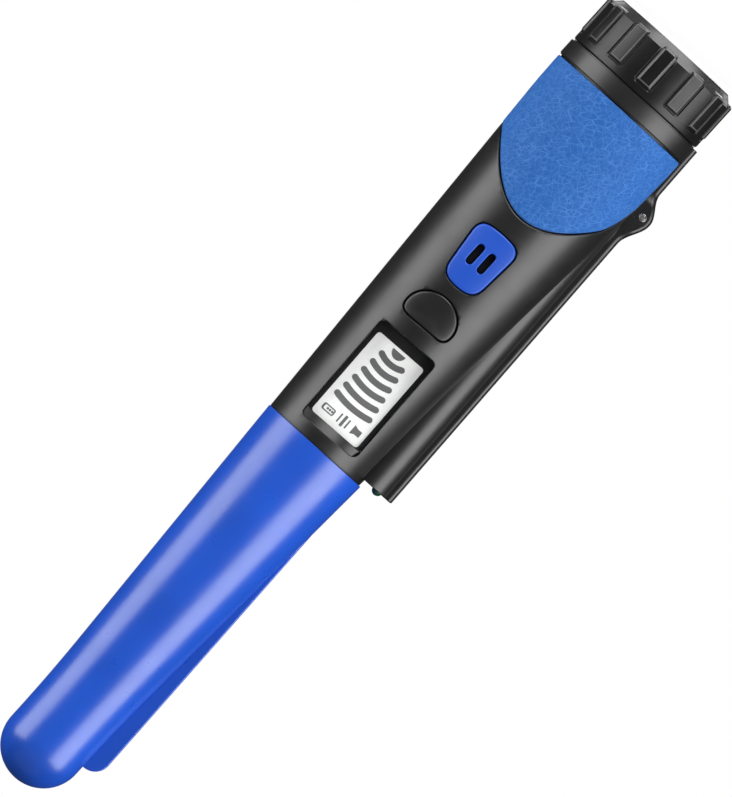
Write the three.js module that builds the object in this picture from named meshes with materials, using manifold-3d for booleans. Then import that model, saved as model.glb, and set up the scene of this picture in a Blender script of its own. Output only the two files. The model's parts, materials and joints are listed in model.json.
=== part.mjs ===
// A hand-held pinpointer probe: a blue coil sheath with a scraping fin, a black two-part handle with
// a display and two keys, soft grip pads, and a screw cap over a 9 V battery.
// The frame is in millimetres. +Z runs along the axis from the cap's flat end face (the origin) to the
// tip, the display faces -Y, and the keel with the lamp, the lanyard boss and the fin is on the -X side.
import * as THREE from "three";
import { mergeVertices } from "three/addons/utils/BufferGeometryUtils.js";
import Module from "manifold-3d";

const wasm = await Module();
wasm.setup();

// ---------------------------------------------------------------- driving dimensions

// Main stations along the axis.
const TIP_Z = 240;
const SHEATH_RIM_Z = 131.4;
const SHELL_FRONT_Z = 131;
const SHELL_REAR_Z = 15.6;
const CAP_RIM_Z = 15;
const AXIS_GAP = 0.05; // half of the joint line between the two shells

// Sheath: a straight taper that flattens out towards a round tip.
const SHEATH_RIM_R = 14.95;
const SHEATH_TAPER = 0.0515;
const NOSE_START_Z = 203;
const NOSE_END_Z = 227.3;
const SHEATH_WALL = 2;
const SPIGOT_R = 12.3;
const SPIGOT_BORE_R = 10.3;
const SPIGOT_END_Z = 121;

// Scraping fin on the keel side of the sheath.
const FIN_FRONT_Z = 226.9;
const FIN_CORNER_R = 4.4;
const FIN_FRONT_X = 15.15;
const FIN_REAR_Z = 148;
const FIN_REAR_X = 14.1;
const FIN_HALF_THICKNESS = 1.1;

// Handle: a straight taper that flattens out behind the grip pad.
const SHELL_FRONT_R = 14.7;
const HANDLE_TAPER = 0.0498;
const FLARE_Z = 32;
const PAD_REAR_Z = 20.4;
const COLLAR_R = 20.18;
const COLLAR_FRONT_Z = 19.95;
const SHELL_WALL = 2.1;

// Keel rib along the handle, with the lanyard boss as a swelling of it.
const KEEL_FRONT_Z = 129.1;
const KEEL_FRONT_X = 23.26;
const KEEL_SLOPE = 0.0198;
const KEEL_HALF_THICKNESS = 1.2;
const BOSS_Z = 36.4;
const BOSS_HEIGHT = 3.1;
const BOSS_SPREAD_FRONT = 8.6;
const BOSS_SPREAD_REAR = 7.2;
const BOSS_HALF_THICKNESS = 2.3;
const BOSS_SLOT_HALF = 0.95;
const PIN_X = -21.85;
const PIN_Z = 36.25;
const PIN_R = 1;

// Lamp barrel: a slim cone laid along the keel side, which sinks into the handle towards the cap.
const BARREL_FRONT_X = 15.65;
const BARREL_FRONT_R = 5.75;
const BARREL_REAR_Z = 30;
const BARREL_REAR_X = 12.58;
const BARREL_REAR_R = 6.65;
const LAMP_X = -18.6;
const LAMP_Z = 124.9;
const LAMP_R = 1.4;
const LAMP_BARREL_LENGTH = 3.9;

// Display recess and the stack below it, from the window down to the circuit board.
const DISPLAY_REAR_Z = 96.6;
const DISPLAY_FRONT_Z = 127.1;
const DISPLAY_HALF_WIDTH = 8.6;
const DISPLAY_X = -0.35;
const WINDOW_Y = -11.9;
const WINDOW_THICKNESS = 0.9;
const SCREEN_REAR_Z = 99.6;
const SCREEN_FRONT_Z = 124.9;
const SCREEN_HALF_WIDTH = 7.3;
const SCREEN_STACK_HALF_WIDTH = 8;
const SCREEN_STACK_REAR_Z = 97.2;
const SCREEN_STACK_FRONT_Z = 126.2;
const BOARD_FRONT_Y = -6.9;
const BOARD_REAR_Y = -5.3;

// Keys. Each key's stem stands on the axis, and its face lies a little towards +X.
const POWER_KEY_X = 0.6;
const POWER_KEY_Z = 70.7;
const MODE_KEY_X = 0.3;
const MODE_KEY_Z = 87.4;
const MODE_KEY_HALF_WIDTH = 7.05;
const MODE_KEY_DEPTH = 6.15;
const MODE_KEY_SHOULDER_Z = 89.2;
const MODE_KEY_FLAT_Z = 91.95;
const MODE_KEY_FLAT_HALF_WIDTH = 4.4;
const KEY_BASE_Y = -13.4;
const KEY_FLANGE_GROW = 1.1;
const KEY_STEM_R = 2;
const KEY_OPENING_Y = -11;
const SLOT_REAR_Z = 67.3;
const SLOT_FRONT_Z = 73.2;
const SLOT_X = 1.78;
const SLOT_HALF_WIDTH = 0.95;
const INLAY_FRONT_Y = -16.3;
const INLAY_BACK_Y = -15.3;
const KEY_GAP = 0.3;
const KEY_PROUD = 0.12;
const PLUNGER_TOP_Y = -11.4;

// Grip pads: straight at the collar, with a rounded front edge that runs back to the sides.
const PAD_NOSE_Z = 56.2;
const PAD_SWEEP = 14.1;
const PAD_SWEEP_HALF_WIDTH = 19;
const PAD_DEPTH = 1;
const PAD_GAP = 0.3;
const PAD_SIDE_Y = 2.9;

// Threaded neck and screw cap. The thread is right-handed, with a 3 mm pitch.
const NECK_BORE_R = 16.3;
const NECK_R = 17.2;
const THREAD_PITCH = 3;
const THREAD_TURNS = 2;
const NECK_THREAD_Z = 6.4;
const NECK_THREAD_R = 17.9;
const CAP_BORE_R = 18.25;
const CAP_THREAD_R = 17.5;
const CAP_R = 19.8;
const CAP_FACE_R = 17.3;
const CAP_WALL = 3;
const GRIP_BARS = 13;
const BAR_TOP_R = 20.2;
const BAR_WIDTH = 5.7;
const BAR_REAR_Z = 1.3;
const BAR_FRONT_Z = 12.7;
const CAP_SEGMENTS = GRIP_BARS * 3;

// Screws that hold the two shells together, from the rear.
const SCREW_LENGTH = 12;
const SCREW_SHANK_R = 1.1;
const SCREW_HEAD_R = 2.4;
const SCREW_HEAD_HEIGHT = 1.6;
const SCREW_PLACES = [
  { x: -12.6, z: 60, seatY: 7 },
  { x: 12.6, z: 60, seatY: 7 },
  { x: -10.8, z: 117, seatY: 5 },
  { x: 10.8, z: 117, seatY: 5 },
];

// Vibration motor, behind the circuit board.
const MOTOR_R = 3.5;
const MOTOR_Y = 7;
const MOTOR_REAR_Z = 68;
const MOTOR_FRONT_Z = 82;

// 9 V block battery.
const BATTERY_REAR_Z = 4.6;
const BATTERY_LENGTH = 46.4;
const BATTERY_WIDTH = 26.2;
const BATTERY_DEPTH = 17.2;
const TERMINAL_X = 6.35;
const BULKHEAD_Z = 53.8;
const BULKHEAD_R = 15.9;

// Search coil: a ferrite rod inside a former with three windings.
const FERRITE_R = 4;
const FORMER_BORE_R = 4.3;
const FORMER_R = 5.6;
const FORMER_FLANGE_R = 8.1;
const FORMER_REAR_Z = 147.5;
const FORMER_FRONT_Z = 226;
const WINDING_R = 7.8;
const FLANGE_CENTRES = [148.5, 170, 202, 225];
const FLANGE_HALF = 1;

// Facets round a full circle.
const RING = 32;
const SMALL_RING = 16;

// Colours, as [sRGB hex, roughness, metalness].
const GLOSS_BLUE = [0x2c5ad0, 0.3, 0];
const GRIP_BLUE = [0x3a76cd, 0.75, 0];
const SATIN_BLACK = [0x232323, 0.45, 0];
const RUBBER_BLACK = [0x161616, 0.8, 0];
const STEEL = [0xb9bcc0, 0.3, 1];
const BRASS = [0xc9a64f, 0.35, 1];
const COPPER = [0xb4642c, 0.35, 1];
const BOARD_GREEN = [0x1d6b3c, 0.5, 0];
const CHIP_BLACK = [0x1b1c1e, 0.6, 0];
const SCREEN_GREY = [0xe4e6e4, 0.4, 0];
const CLEAR = [0xf2f5f5, 0.05, 0];
const WHITE_PLASTIC = [0xe6e4dc, 0.6, 0];
const FERRITE_GREY = [0x3b3c3f, 0.7, 0];
const FOAM_GREY = [0x55575a, 0.95, 0];
const LAMP_GREEN = [0x16463a, 0.1, 0];
const BATTERY_GREY = [0x4a5058, 0.4, 0.3];
const LEAD_RED = [0xa02020, 0.6, 0];
const LEAD_BLACK = [0x202020, 0.6, 0];

// ---------------------------------------------------------------- shape helpers

// A closed geometry as a manifold-3d solid, with its faces turned outwards.
function solidOf(geometry) {
  const bare = geometry.index ? geometry.toNonIndexed() : geometry.clone();
  bare.deleteAttribute("normal");
  bare.deleteAttribute("uv");
  const merged = mergeVertices(bare, 1e-4);
  const corners = merged.index.array;
  const kept = [];
  for (let i = 0; i < corners.length; i += 3) {
    const [a, b, c] = [corners[i], corners[i + 1], corners[i + 2]];
    if (a !== b && b !== c && c !== a) kept.push(a, b, c);
  }
  const build = (triangles) =>
    new wasm.Manifold(
      new wasm.Mesh({
        numProp: 3,
        vertProperties: merged.attributes.position.array,
        triVerts: new Uint32Array(triangles),
      }),
    );
  const solid = build(kept);
  return solid.volume() < 0 ? build(kept.toReversed()) : solid;
}

// A solid as a three.js geometry.
function geometryOf(solid) {
  const mesh = solid.getMesh();
  const positions = new Float32Array(mesh.numVert * 3);
  for (let i = 0; i < mesh.numVert; i += 1) {
    positions.set(mesh.vertProperties.subarray(i * mesh.numProp, i * mesh.numProp + 3), i * 3);
  }
  const geometry = new THREE.BufferGeometry();
  geometry.setAttribute("position", new THREE.BufferAttribute(positions, 3));
  geometry.setIndex(new THREE.BufferAttribute(mesh.triVerts, 1));
  geometry.computeVertexNormals();
  return geometry;
}

const join = (...solids) => solids.reduce((whole, solid) => whole.add(solid));
const cut = (solid, ...tools) => tools.reduce((rest, tool) => rest.subtract(tool), solid);

// A body of revolution about Z from a closed or axis-to-axis profile of [radius, z] points.
function turned(profile, segments = RING) {
  const points = profile.map(([r, z]) => new THREE.Vector2(r, z));
  return solidOf(new THREE.LatheGeometry(points, segments).rotateX(Math.PI / 2));
}

// A ring or tube about Z.
function tube(inner, outer, z0, z1, segments = RING) {
  return turned([[inner, z0], [outer, z0], [outer, z1], [inner, z1], [inner, z0]], segments);
}

// A round rod about Z.
function rod(radius, z0, z1, segments = SMALL_RING) {
  return turned([[0, z0], [radius, z0], [radius, z1], [0, z1]], segments);
}

// A round rod along Y through (x, z).
function crossRod(radius, y0, y1, x, z, segments = SMALL_RING) {
  const geometry = new THREE.CylinderGeometry(radius, radius, y1 - y0, segments);
  return solidOf(geometry.translate(x, (y0 + y1) / 2, z));
}

function block(x0, x1, y0, y1, z0, z1) {
  const geometry = new THREE.BoxGeometry(x1 - x0, y1 - y0, z1 - z0);
  return solidOf(geometry.translate((x0 + x1) / 2, (y0 + y1) / 2, (z0 + z1) / 2));
}

// An outline in X and Z, extruded along Y.
function sidePrism(shape, y0, y1, curveSegments = 4) {
  const options = { depth: y1 - y0, bevelEnabled: false, curveSegments };
  const geometry = new THREE.ExtrudeGeometry(shape, options);
  return solidOf(geometry.rotateX(Math.PI / 2).translate(0, y1, 0));
}

// A shape whose corners [x, z, radius] are rounded.
function roundedShape(corners) {
  const shape = new THREE.Shape();
  corners.forEach(([x, z, radius], i) => {
    const here = new THREE.Vector2(x, z);
    const reach = (other) => {
      const towards = new THREE.Vector2(other[0], other[1]).sub(here);
      return here.clone().addScaledVector(towards.normalize(), radius);
    };
    const before = reach(corners.at(i - 1));
    const after = reach(corners[(i + 1) % corners.length]);
    if (i === 0) shape.moveTo(before.x, before.y);
    else shape.lineTo(before.x, before.y);
    shape.quadraticCurveTo(x, z, after.x, after.y);
  });
  return shape;
}

function roundedRectangle(x0, x1, z0, z1, radius) {
  return roundedShape([[x0, z0, radius], [x1, z0, radius], [x1, z1, radius], [x0, z1, radius]]);
}

// A skin stretched over closed convex rings of equal point counts, with both ends closed.
function loft(rings) {
  const count = rings[0].length;
  const positions = rings.flat().flatMap((p) => [p.x, p.y, p.z]);
  const faces = [];
  for (let k = 0; k + 1 < rings.length; k += 1) {
    for (let i = 0; i < count; i += 1) {
      const j = (i + 1) % count;
      const [a, b] = [k * count + i, k * count + j];
      const [c, d] = [b + count, a + count];
      faces.push(a, b, c, a, c, d);
    }
  }
  const last = (rings.length - 1) * count;
  for (let i = 1; i + 1 < count; i += 1) {
    faces.push(0, i + 1, i);
    faces.push(last, last + i, last + i + 1);
  }
  const geometry = new THREE.BufferGeometry();
  geometry.setAttribute("position", new THREE.Float32BufferAttribute(positions, 3));
  geometry.setIndex(faces);
  return solidOf(geometry);
}

// One helical thread ridge. rootR and crestR may lie either way round, for an outer or inner thread.
function threadRidge(rootR, crestR, startZ) {
  const rootHalf = 0.75;
  const crestHalf = 0.5;
  const stepsPerTurn = 24;
  const section = [[rootR, -rootHalf], [crestR, -crestHalf], [crestR, crestHalf], [rootR, rootHalf]];
  const rings = [];
  for (let k = 0; k <= THREAD_TURNS * stepsPerTurn; k += 1) {
    const turn = k / stepsPerTurn;
    const angle = turn * 2 * Math.PI;
    const z = startZ + turn * THREAD_PITCH;
    const [across, along] = [Math.cos(angle), Math.sin(angle)];
    rings.push(section.map(([r, dz]) => new THREE.Vector3(r * across, r * along, z + dz)));
  }
  return loft(rings);
}

// A round lead through hand-laid points.
function lead(points, radius) {
  const sides = 8;
  const section = new THREE.Shape();
  for (let i = 0; i < sides; i += 1) {
    const angle = (i / sides) * 2 * Math.PI;
    const point = [radius * Math.cos(angle), radius * Math.sin(angle)];
    if (i === 0) section.moveTo(...point);
    else section.lineTo(...point);
  }
  const extrudePath = new THREE.CatmullRomCurve3(points.map((p) => new THREE.Vector3(...p)));
  return solidOf(new THREE.ExtrudeGeometry(section, { steps: 9, extrudePath, curveSegments: 1 }));
}

function mesh(name, solid, [color, roughness, metalness], position = [0, 0, 0]) {
  const material = new THREE.MeshStandardMaterial({ color, roughness, metalness });
  const made = new THREE.Mesh(geometryOf(solid), material);
  made.name = name;
  made.position.set(...position);
  return made;
}

function group(...children) {
  const made = new THREE.Group();
  made.add(...children);
  return made;
}

// ---------------------------------------------------------------- outer form

// Drop of a taper that eases to zero slope over the given length.
const easedDrop = (distance, length, taper) => taper * (distance - distance ** 2 / (2 * length));

function handleRadius(z) {
  const straight = SHELL_FRONT_R + HANDLE_TAPER * (SHELL_FRONT_Z - Math.max(z, FLARE_Z));
  return straight + easedDrop(Math.max(0, FLARE_Z - z), FLARE_Z - PAD_REAR_Z, HANDLE_TAPER);
}

function sheathRadius(z) {
  const straight = SHEATH_RIM_R - SHEATH_TAPER * (Math.min(z, NOSE_START_Z) - SHEATH_RIM_Z);
  const eased = Math.min(Math.max(0, z - NOSE_START_Z), NOSE_END_Z - NOSE_START_Z);
  return straight - easedDrop(eased, NOSE_END_Z - NOSE_START_Z, SHEATH_TAPER);
}

// Profile points of the handle between two stations, offset from the outer surface.
function handleProfile(z0, z1, offset) {
  const stations = [PAD_REAR_Z, 24.3, 28.2, FLARE_Z].filter((z) => z > z0 && z < z1);
  return [z0, ...stations, z1].map((z) => [handleRadius(z) + offset, z]);
}

// A solid of revolution that holds everything inside the handle's surface plus an offset.
function handleCore(offset) {
  const side = handleProfile(PAD_REAR_Z, SHELL_FRONT_Z, offset);
  return turned([[0, PAD_REAR_Z], ...side, [0, SHELL_FRONT_Z]]);
}

const keelReach = (z) => KEEL_FRONT_X - KEEL_SLOPE * (KEEL_FRONT_Z - z);

// Height of the lanyard boss above the keel's edge, as one raised cosine on each side of its crest.
function bossHeight(z) {
  const spread = z > BOSS_Z ? BOSS_SPREAD_FRONT : BOSS_SPREAD_REAR;
  const t = Math.min(1, Math.abs(z - BOSS_Z) / spread);
  return (BOSS_HEIGHT / 2) * (1 + Math.cos(Math.PI * t));
}

function keelRib() {
  const shape = new THREE.Shape();
  shape.moveTo(-13, SHELL_REAR_Z);
  shape.lineTo(-keelReach(SHELL_REAR_Z), SHELL_REAR_Z);
  for (let z = BOSS_Z - BOSS_SPREAD_REAR; z < BOSS_Z + BOSS_SPREAD_FRONT; z += 1.7) {
    shape.lineTo(-keelReach(z) - bossHeight(z), z);
  }
  shape.lineTo(-KEEL_FRONT_X, KEEL_FRONT_Z);
  shape.lineTo(-13, KEEL_FRONT_Z);
  return sidePrism(shape, -KEEL_HALF_THICKNESS, KEEL_HALF_THICKNESS);
}

// The boss's two ears, which stand wider than the rib and carry the cross pin.
function lanyardBoss() {
  const rear = BOSS_Z - BOSS_SPREAD_REAR + 1;
  const front = BOSS_Z + BOSS_SPREAD_FRONT - 1;
  const shape = new THREE.Shape();
  shape.moveTo(-18, rear);
  for (let z = rear; z <= front; z += 1.4) {
    shape.lineTo(-keelReach(z) - bossHeight(z), z);
  }
  shape.lineTo(-18, front);
  return sidePrism(shape, -BOSS_HALF_THICKNESS, BOSS_HALF_THICKNESS);
}

function lampBarrel() {
  const ringAt = (x, z, radius) => {
    const sides = 18;
    return Array.from({ length: sides }, (_, i) => {
      const angle = (i / sides) * 2 * Math.PI;
      return new THREE.Vector3(-x + radius * Math.cos(angle), radius * Math.sin(angle), z);
    });
  };
  return loft([
    ringAt(BARREL_REAR_X, BARREL_REAR_Z, BARREL_REAR_R),
    ringAt(BARREL_FRONT_X, KEEL_FRONT_Z, BARREL_FRONT_R),
  ]);
}

// ---------------------------------------------------------------- openings in the handle

// The power key's outline, wider towards the cap, with both ends slightly bowed.
function trapezoidKey(grow) {
  const rear = { halfWidth: 6.4 + grow, cornerZ: 62.75 - grow, middleZ: 62.3 - grow };
  const front = { halfWidth: 4.95 + grow, cornerZ: 78.7 + grow, middleZ: 79.15 + grow };
  return roundedShape([
    [POWER_KEY_X - rear.halfWidth, rear.cornerZ, 3],
    [POWER_KEY_X, rear.middleZ, 2],
    [POWER_KEY_X + rear.halfWidth, rear.cornerZ, 3],
    [POWER_KEY_X + front.halfWidth, front.cornerZ, 2.8],
    [POWER_KEY_X, front.middleZ, 2],
    [POWER_KEY_X - front.halfWidth, front.cornerZ, 2.8],
  ]);
}

// A D-shaped outline: half an ellipse towards the cap and a flat side towards the display.
function halfRoundKey(grow) {
  const left = MODE_KEY_X - MODE_KEY_HALF_WIDTH - grow;
  const right = MODE_KEY_X + MODE_KEY_HALF_WIDTH + grow;
  const shoulder = MODE_KEY_SHOULDER_Z;
  const flat = MODE_KEY_FLAT_Z + grow;
  const depth = MODE_KEY_DEPTH + grow;
  const halfWidth = MODE_KEY_HALF_WIDTH + grow;
  const shape = new THREE.Shape();
  shape.moveTo(left, shoulder);
  shape.absellipse(MODE_KEY_X, shoulder, halfWidth, depth, Math.PI, 2 * Math.PI, false, 0);
  shape.quadraticCurveTo(right, flat, MODE_KEY_X + MODE_KEY_FLAT_HALF_WIDTH, flat);
  shape.lineTo(MODE_KEY_X - MODE_KEY_FLAT_HALF_WIDTH, flat);
  shape.quadraticCurveTo(left, flat, left, shoulder);
  return shape;
}

function displayOutline(grow) {
  return roundedRectangle(
    DISPLAY_X - DISPLAY_HALF_WIDTH - grow,
    DISPLAY_X + DISPLAY_HALF_WIDTH + grow,
    DISPLAY_REAR_Z - grow,
    DISPLAY_FRONT_Z + grow,
    2.2,
  );
}

// The grip pad's outline seen from the front, with its edge moved outwards by grow.
function padOutline(grow) {
  const halfWidth = 21;
  const shape = new THREE.Shape();
  shape.moveTo(-halfWidth, PAD_REAR_Z - grow);
  shape.lineTo(halfWidth, PAD_REAR_Z - grow);
  const steps = 10;
  for (let i = 0; i <= steps; i += 1) {
    const x = halfWidth * (1 - (2 * i) / steps);
    shape.lineTo(x, PAD_NOSE_Z + 1.4 * grow - PAD_SWEEP * (x / PAD_SWEEP_HALF_WIDTH) ** 2);
  }
  return shape;
}

// Space of one grip pad on the +Y side: a curved slab, kept clear of the keel.
function padSpace(depth, grow) {
  const outer = turned([[0, 16], [22, 16], [22, 70], [0, 70]]);
  const stations = [PAD_REAR_Z - 1, 24.3, 28.2, FLARE_Z, 60];
  const inner = turned([[0, 19], ...stations.map((z) => [handleRadius(z) - depth, z]), [0, 60.5]]);
  const prism = sidePrism(padOutline(grow), 0, 30);
  const sideLimits = join(
    block(-25, -10, -1, PAD_SIDE_Y - grow, 10, 70),
    block(10, 25, -1, 0.5 - grow, 10, 70),
  );
  return cut(prism.intersect(outer), inner, sideLimits);
}

function mirroredInY(solid) {
  return solid.mirror([0, 1, 0]);
}

// A screw along Y with a cross recess, whose head's underside lies at the origin.
function shellScrew() {
  const shank = crossRod(SCREW_SHANK_R, -SCREW_LENGTH, 0.2, 0, 0, 8);
  const head = crossRod(SCREW_HEAD_R, 0, SCREW_HEAD_HEIGHT, 0, 0, 14);
  const slot = (x, z) => block(-x, x, SCREW_HEAD_HEIGHT - 0.7, SCREW_HEAD_HEIGHT + 1, -z, z);
  return cut(join(shank, head), slot(1.5, 0.3), slot(0.3, 1.5));
}

// ---------------------------------------------------------------- the two handle shells

// The inside of the handle, open at both ends, with the neck's seat and the sheath's socket.
function handleCavity() {
  const neckClearanceR = NECK_R + 0.3;
  const flangeR = 19;
  const side = [
    [neckClearanceR, SHELL_REAR_Z - 1],
    [neckClearanceR, 17.2],
    [flangeR, 17.2],
    [flangeR, 19.6],
    [neckClearanceR, 19.6],
    [neckClearanceR, 26],
    ...handleProfile(FLARE_Z, SHELL_FRONT_Z, -SHELL_WALL),
    [handleRadius(SHELL_FRONT_Z) - SHELL_WALL, SHELL_FRONT_Z + 1],
  ];
  return turned([[0, SHELL_REAR_Z - 1], ...side, [0, SHELL_FRONT_Z + 1]]);
}

function handleOuter() {
  const core = turned([
    [0, SHELL_REAR_Z],
    [COLLAR_R - 0.3, SHELL_REAR_Z],
    [COLLAR_R, SHELL_REAR_Z + 0.3],
    [COLLAR_R, COLLAR_FRONT_Z - 0.3],
    [COLLAR_R - 0.3, COLLAR_FRONT_Z],
    [handleRadius(PAD_REAR_Z) - 0.4, COLLAR_FRONT_Z],
    ...handleProfile(PAD_REAR_Z, SHELL_FRONT_Z, 0),
    [0, SHELL_FRONT_Z],
  ]);
  return join(core, keelRib(), lanyardBoss(), lampBarrel());
}

// The lamp's bore and the lead channel, half in each shell.
function lampSpace() {
  const bore = rod(2, 120, KEEL_FRONT_Z + 1).translate([LAMP_X, 0, 0]);
  const channel = block(-20.2, -16.6, -1.7, 1.7, 110, 121.5);
  const doorway = block(-20.2, -9, -1.7, 1.7, 107, 113);
  return join(bore, channel, doorway);
}

function lanyardSpace() {
  const slot = block(-26, -18.7, -BOSS_SLOT_HALF, BOSS_SLOT_HALF, 30.2, 43.4);
  const bore = crossRod(PIN_R + 0.05, -4, 4, PIN_X, PIN_Z);
  return join(slot, bore);
}

function hollowShell() {
  return cut(handleOuter(), handleCavity(), lampSpace(), lanyardSpace());
}

function frontShell() {
  const outer = handleOuter();
  const well = sidePrism(displayOutline(1.3), -25, -9.6).intersect(outer);
  const posts = SCREW_PLACES.map(({ x, z }) => {
    return crossRod(2.1, -16, -AXIS_GAP, x, z, 12).intersect(handleCore(-1));
  });
  const pilots = SCREW_PLACES.map(({ x, z }) => crossRod(SCREW_SHANK_R + 0.1, -9, 1, x, z, 8));
  const slope = new THREE.Shape();
  slope.moveTo(WINDOW_Y, SCREEN_FRONT_Z + 0.6);
  slope.lineTo(-14.6, DISPLAY_FRONT_Z + 0.2);
  slope.lineTo(WINDOW_Y, DISPLAY_FRONT_Z + 0.2);
  const ramp = solidOf(
    new THREE.ExtrudeGeometry(slope, { depth: 2 * DISPLAY_HALF_WIDTH, bevelEnabled: false })
      .translate(0, 0, DISPLAY_X - DISPLAY_HALF_WIDTH)
      .applyMatrix4(
        new THREE.Matrix4().makeBasis(
          new THREE.Vector3(0, 1, 0),
          new THREE.Vector3(0, 0, 1),
          new THREE.Vector3(1, 0, 0),
        ),
      ),
  );
  const opened = cut(
    join(hollowShell(), well, ...posts),
    cut(sidePrism(displayOutline(0), -25, -9), ramp),
    sidePrism(trapezoidKey(KEY_GAP), -25, KEY_OPENING_Y),
    sidePrism(halfRoundKey(KEY_GAP), -25, KEY_OPENING_Y),
    mirroredInY(padSpace(PAD_DEPTH + PAD_GAP, PAD_GAP)),
    ...pilots,
  );
  return opened.intersect(block(-30, 30, -30, -AXIS_GAP, 0, 140));
}

function rearShell() {
  const posts = SCREW_PLACES.map(({ x, z, seatY }) => {
    const shank = crossRod(2.2, AXIS_GAP, 16, x, z, 12);
    const seat = crossRod(3.4, seatY - 1.6, 16, x, z, 14);
    return join(shank, seat).intersect(handleCore(0));
  });
  const bores = SCREW_PLACES.map(({ x, z, seatY }) => {
    return join(crossRod(2.7, seatY, 20, x, z, 14), crossRod(1.4, -1, seatY + 1, x, z, 8));
  });
  const saddles = join(block(-5, 5, 7.6, 15.8, 70, 71.6), block(-5, 5, 7.6, 15.8, 78, 79.6));
  const opened = cut(
    join(hollowShell(), saddles, ...posts),
    rod(MOTOR_R + 0.2, 60, 90, 20).translate([0, MOTOR_Y, 0]),
    padSpace(PAD_DEPTH + PAD_GAP, PAD_GAP),
    ...bores,
  );
  return opened.intersect(block(-30, 30, AXIS_GAP, 30, 0, 140));
}

// A pad fills its recess with a small gap and ends flush with the handle's surface.
function gripPad() {
  const outer = turned([
    [0, PAD_REAR_Z],
    ...handleProfile(PAD_REAR_Z, 70, 0.12),
    [0, 70],
  ]);
  return padSpace(PAD_DEPTH, 0).intersect(outer);
}

// ---------------------------------------------------------------- keys and switches

// A key's cap follows the handle's surface, and a hidden flange keeps it from falling out.
function keyCap(outline, flangeOutline, z) {
  const cap = sidePrism(outline, -25, KEY_BASE_Y).intersect(handleCore(KEY_PROUD));
  const flange = sidePrism(flangeOutline, -25, KEY_BASE_Y).intersect(handleCore(-SHELL_WALL - 0.3));
  const stem = crossRod(KEY_STEM_R, KEY_BASE_Y - 0.8, PLUNGER_TOP_Y - 0.05, 0, z, 16);
  return join(cap, flange, stem);
}

// One of the power key's two slots; side is -1 towards the keel and 1 towards +X.
function slotOutline(side, shrink) {
  const halfWidth = SLOT_HALF_WIDTH - shrink;
  const x = POWER_KEY_X + side * SLOT_X;
  return roundedRectangle(
    x - halfWidth,
    x + halfWidth,
    SLOT_REAR_Z + shrink,
    SLOT_FRONT_Z - shrink,
    halfWidth * 0.9,
  );
}

function inlayOutline(grow) {
  const halfWidth = 3.4 + grow;
  return roundedRectangle(POWER_KEY_X - halfWidth, POWER_KEY_X + halfWidth, 66.4 - grow, 74.1 + grow, 0.9);
}

function powerKey() {
  const body = keyCap(trapezoidKey(0), trapezoidKey(KEY_FLANGE_GROW), POWER_KEY_Z);
  const pocket = sidePrism(inlayOutline(0.2), INLAY_FRONT_Y - 0.1, INLAY_BACK_Y + 0.1);
  const slots = [-1, 1].map((side) => sidePrism(slotOutline(side, 0), -25, -16));
  return cut(body, pocket, ...slots);
}

// The dark core of the power key, which shows in the key's two slots.
function powerKeyInlay() {
  const plate = sidePrism(inlayOutline(0), INLAY_FRONT_Y, INLAY_BACK_Y);
  const ridges = [-1, 1].map((side) => sidePrism(slotOutline(side, 0.12), -17, -16));
  return join(plate, ...ridges);
}

function modeKey() {
  const dishR = 30;
  const dishY = -46.6;
  const dish = new THREE.SphereGeometry(dishR, 40, 30).translate(MODE_KEY_X, dishY, MODE_KEY_Z);
  return cut(keyCap(halfRoundKey(0), halfRoundKey(KEY_FLANGE_GROW), MODE_KEY_Z), solidOf(dish));
}

function switchBody() {
  const base = block(-3, 3, -3.5, 0, -3, 3);
  return cut(base, crossRod(1.75, -4, -1.2, 0, 0));
}

// ---------------------------------------------------------------- display, board and parts on it

function screenPlate(y0, y1) {
  const x0 = DISPLAY_X - SCREEN_STACK_HALF_WIDTH;
  const x1 = DISPLAY_X + SCREEN_STACK_HALF_WIDTH;
  return block(x0, x1, y0, y1, SCREEN_STACK_REAR_Z, SCREEN_STACK_FRONT_Z);
}

// A clear pane with a small gap all round, at the bottom of the display recess.
function displayWindow() {
  return sidePrism(displayOutline(-0.15), WINDOW_Y, WINDOW_Y + WINDOW_THICKNESS);
}

function screenBezel() {
  const x0 = DISPLAY_X - SCREEN_HALF_WIDTH;
  const x1 = DISPLAY_X + SCREEN_HALF_WIDTH;
  const opening = sidePrism(roundedRectangle(x0, x1, SCREEN_REAR_Z, SCREEN_FRONT_Z, 0.8), -12, -10);
  return cut(screenPlate(-10.95, -10.55), opening);
}

function circuitBoard() {
  const shape = new THREE.Shape();
  shape.moveTo(-9.6, 63.6);
  shape.lineTo(9.6, 63.6);
  shape.lineTo(9.6, 113);
  shape.lineTo(8, 113);
  shape.lineTo(8, 120);
  shape.lineTo(-8, 120);
  shape.lineTo(-8, 113);
  shape.lineTo(-9.6, 113);
  return sidePrism(shape, BOARD_FRONT_Y, BOARD_REAR_Y);
}

function chip(width, height, length) {
  const body = block(-width / 2, width / 2, 0.2, height, -length / 2, length / 2);
  const legs = [];
  const pitch = 1.27;
  const pairs = Math.floor(length / pitch) - 1;
  for (let i = 0; i < pairs; i += 1) {
    const z = (i - (pairs - 1) / 2) * pitch;
    legs.push(block(-width / 2 - 0.7, width / 2 + 0.7, 0, 0.4, z - 0.2, z + 0.2));
  }
  return join(body, ...legs);
}

// ---------------------------------------------------------------- vibration motor

function motorCan() {
  const shaftBore = 0.58;
  return turned(
    [
      [0, MOTOR_REAR_Z],
      [MOTOR_R, MOTOR_REAR_Z],
      [MOTOR_R, MOTOR_FRONT_Z],
      [shaftBore, MOTOR_FRONT_Z],
      [shaftBore, MOTOR_FRONT_Z - 3],
      [0, MOTOR_FRONT_Z - 3],
    ],
    24,
  );
}

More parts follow.
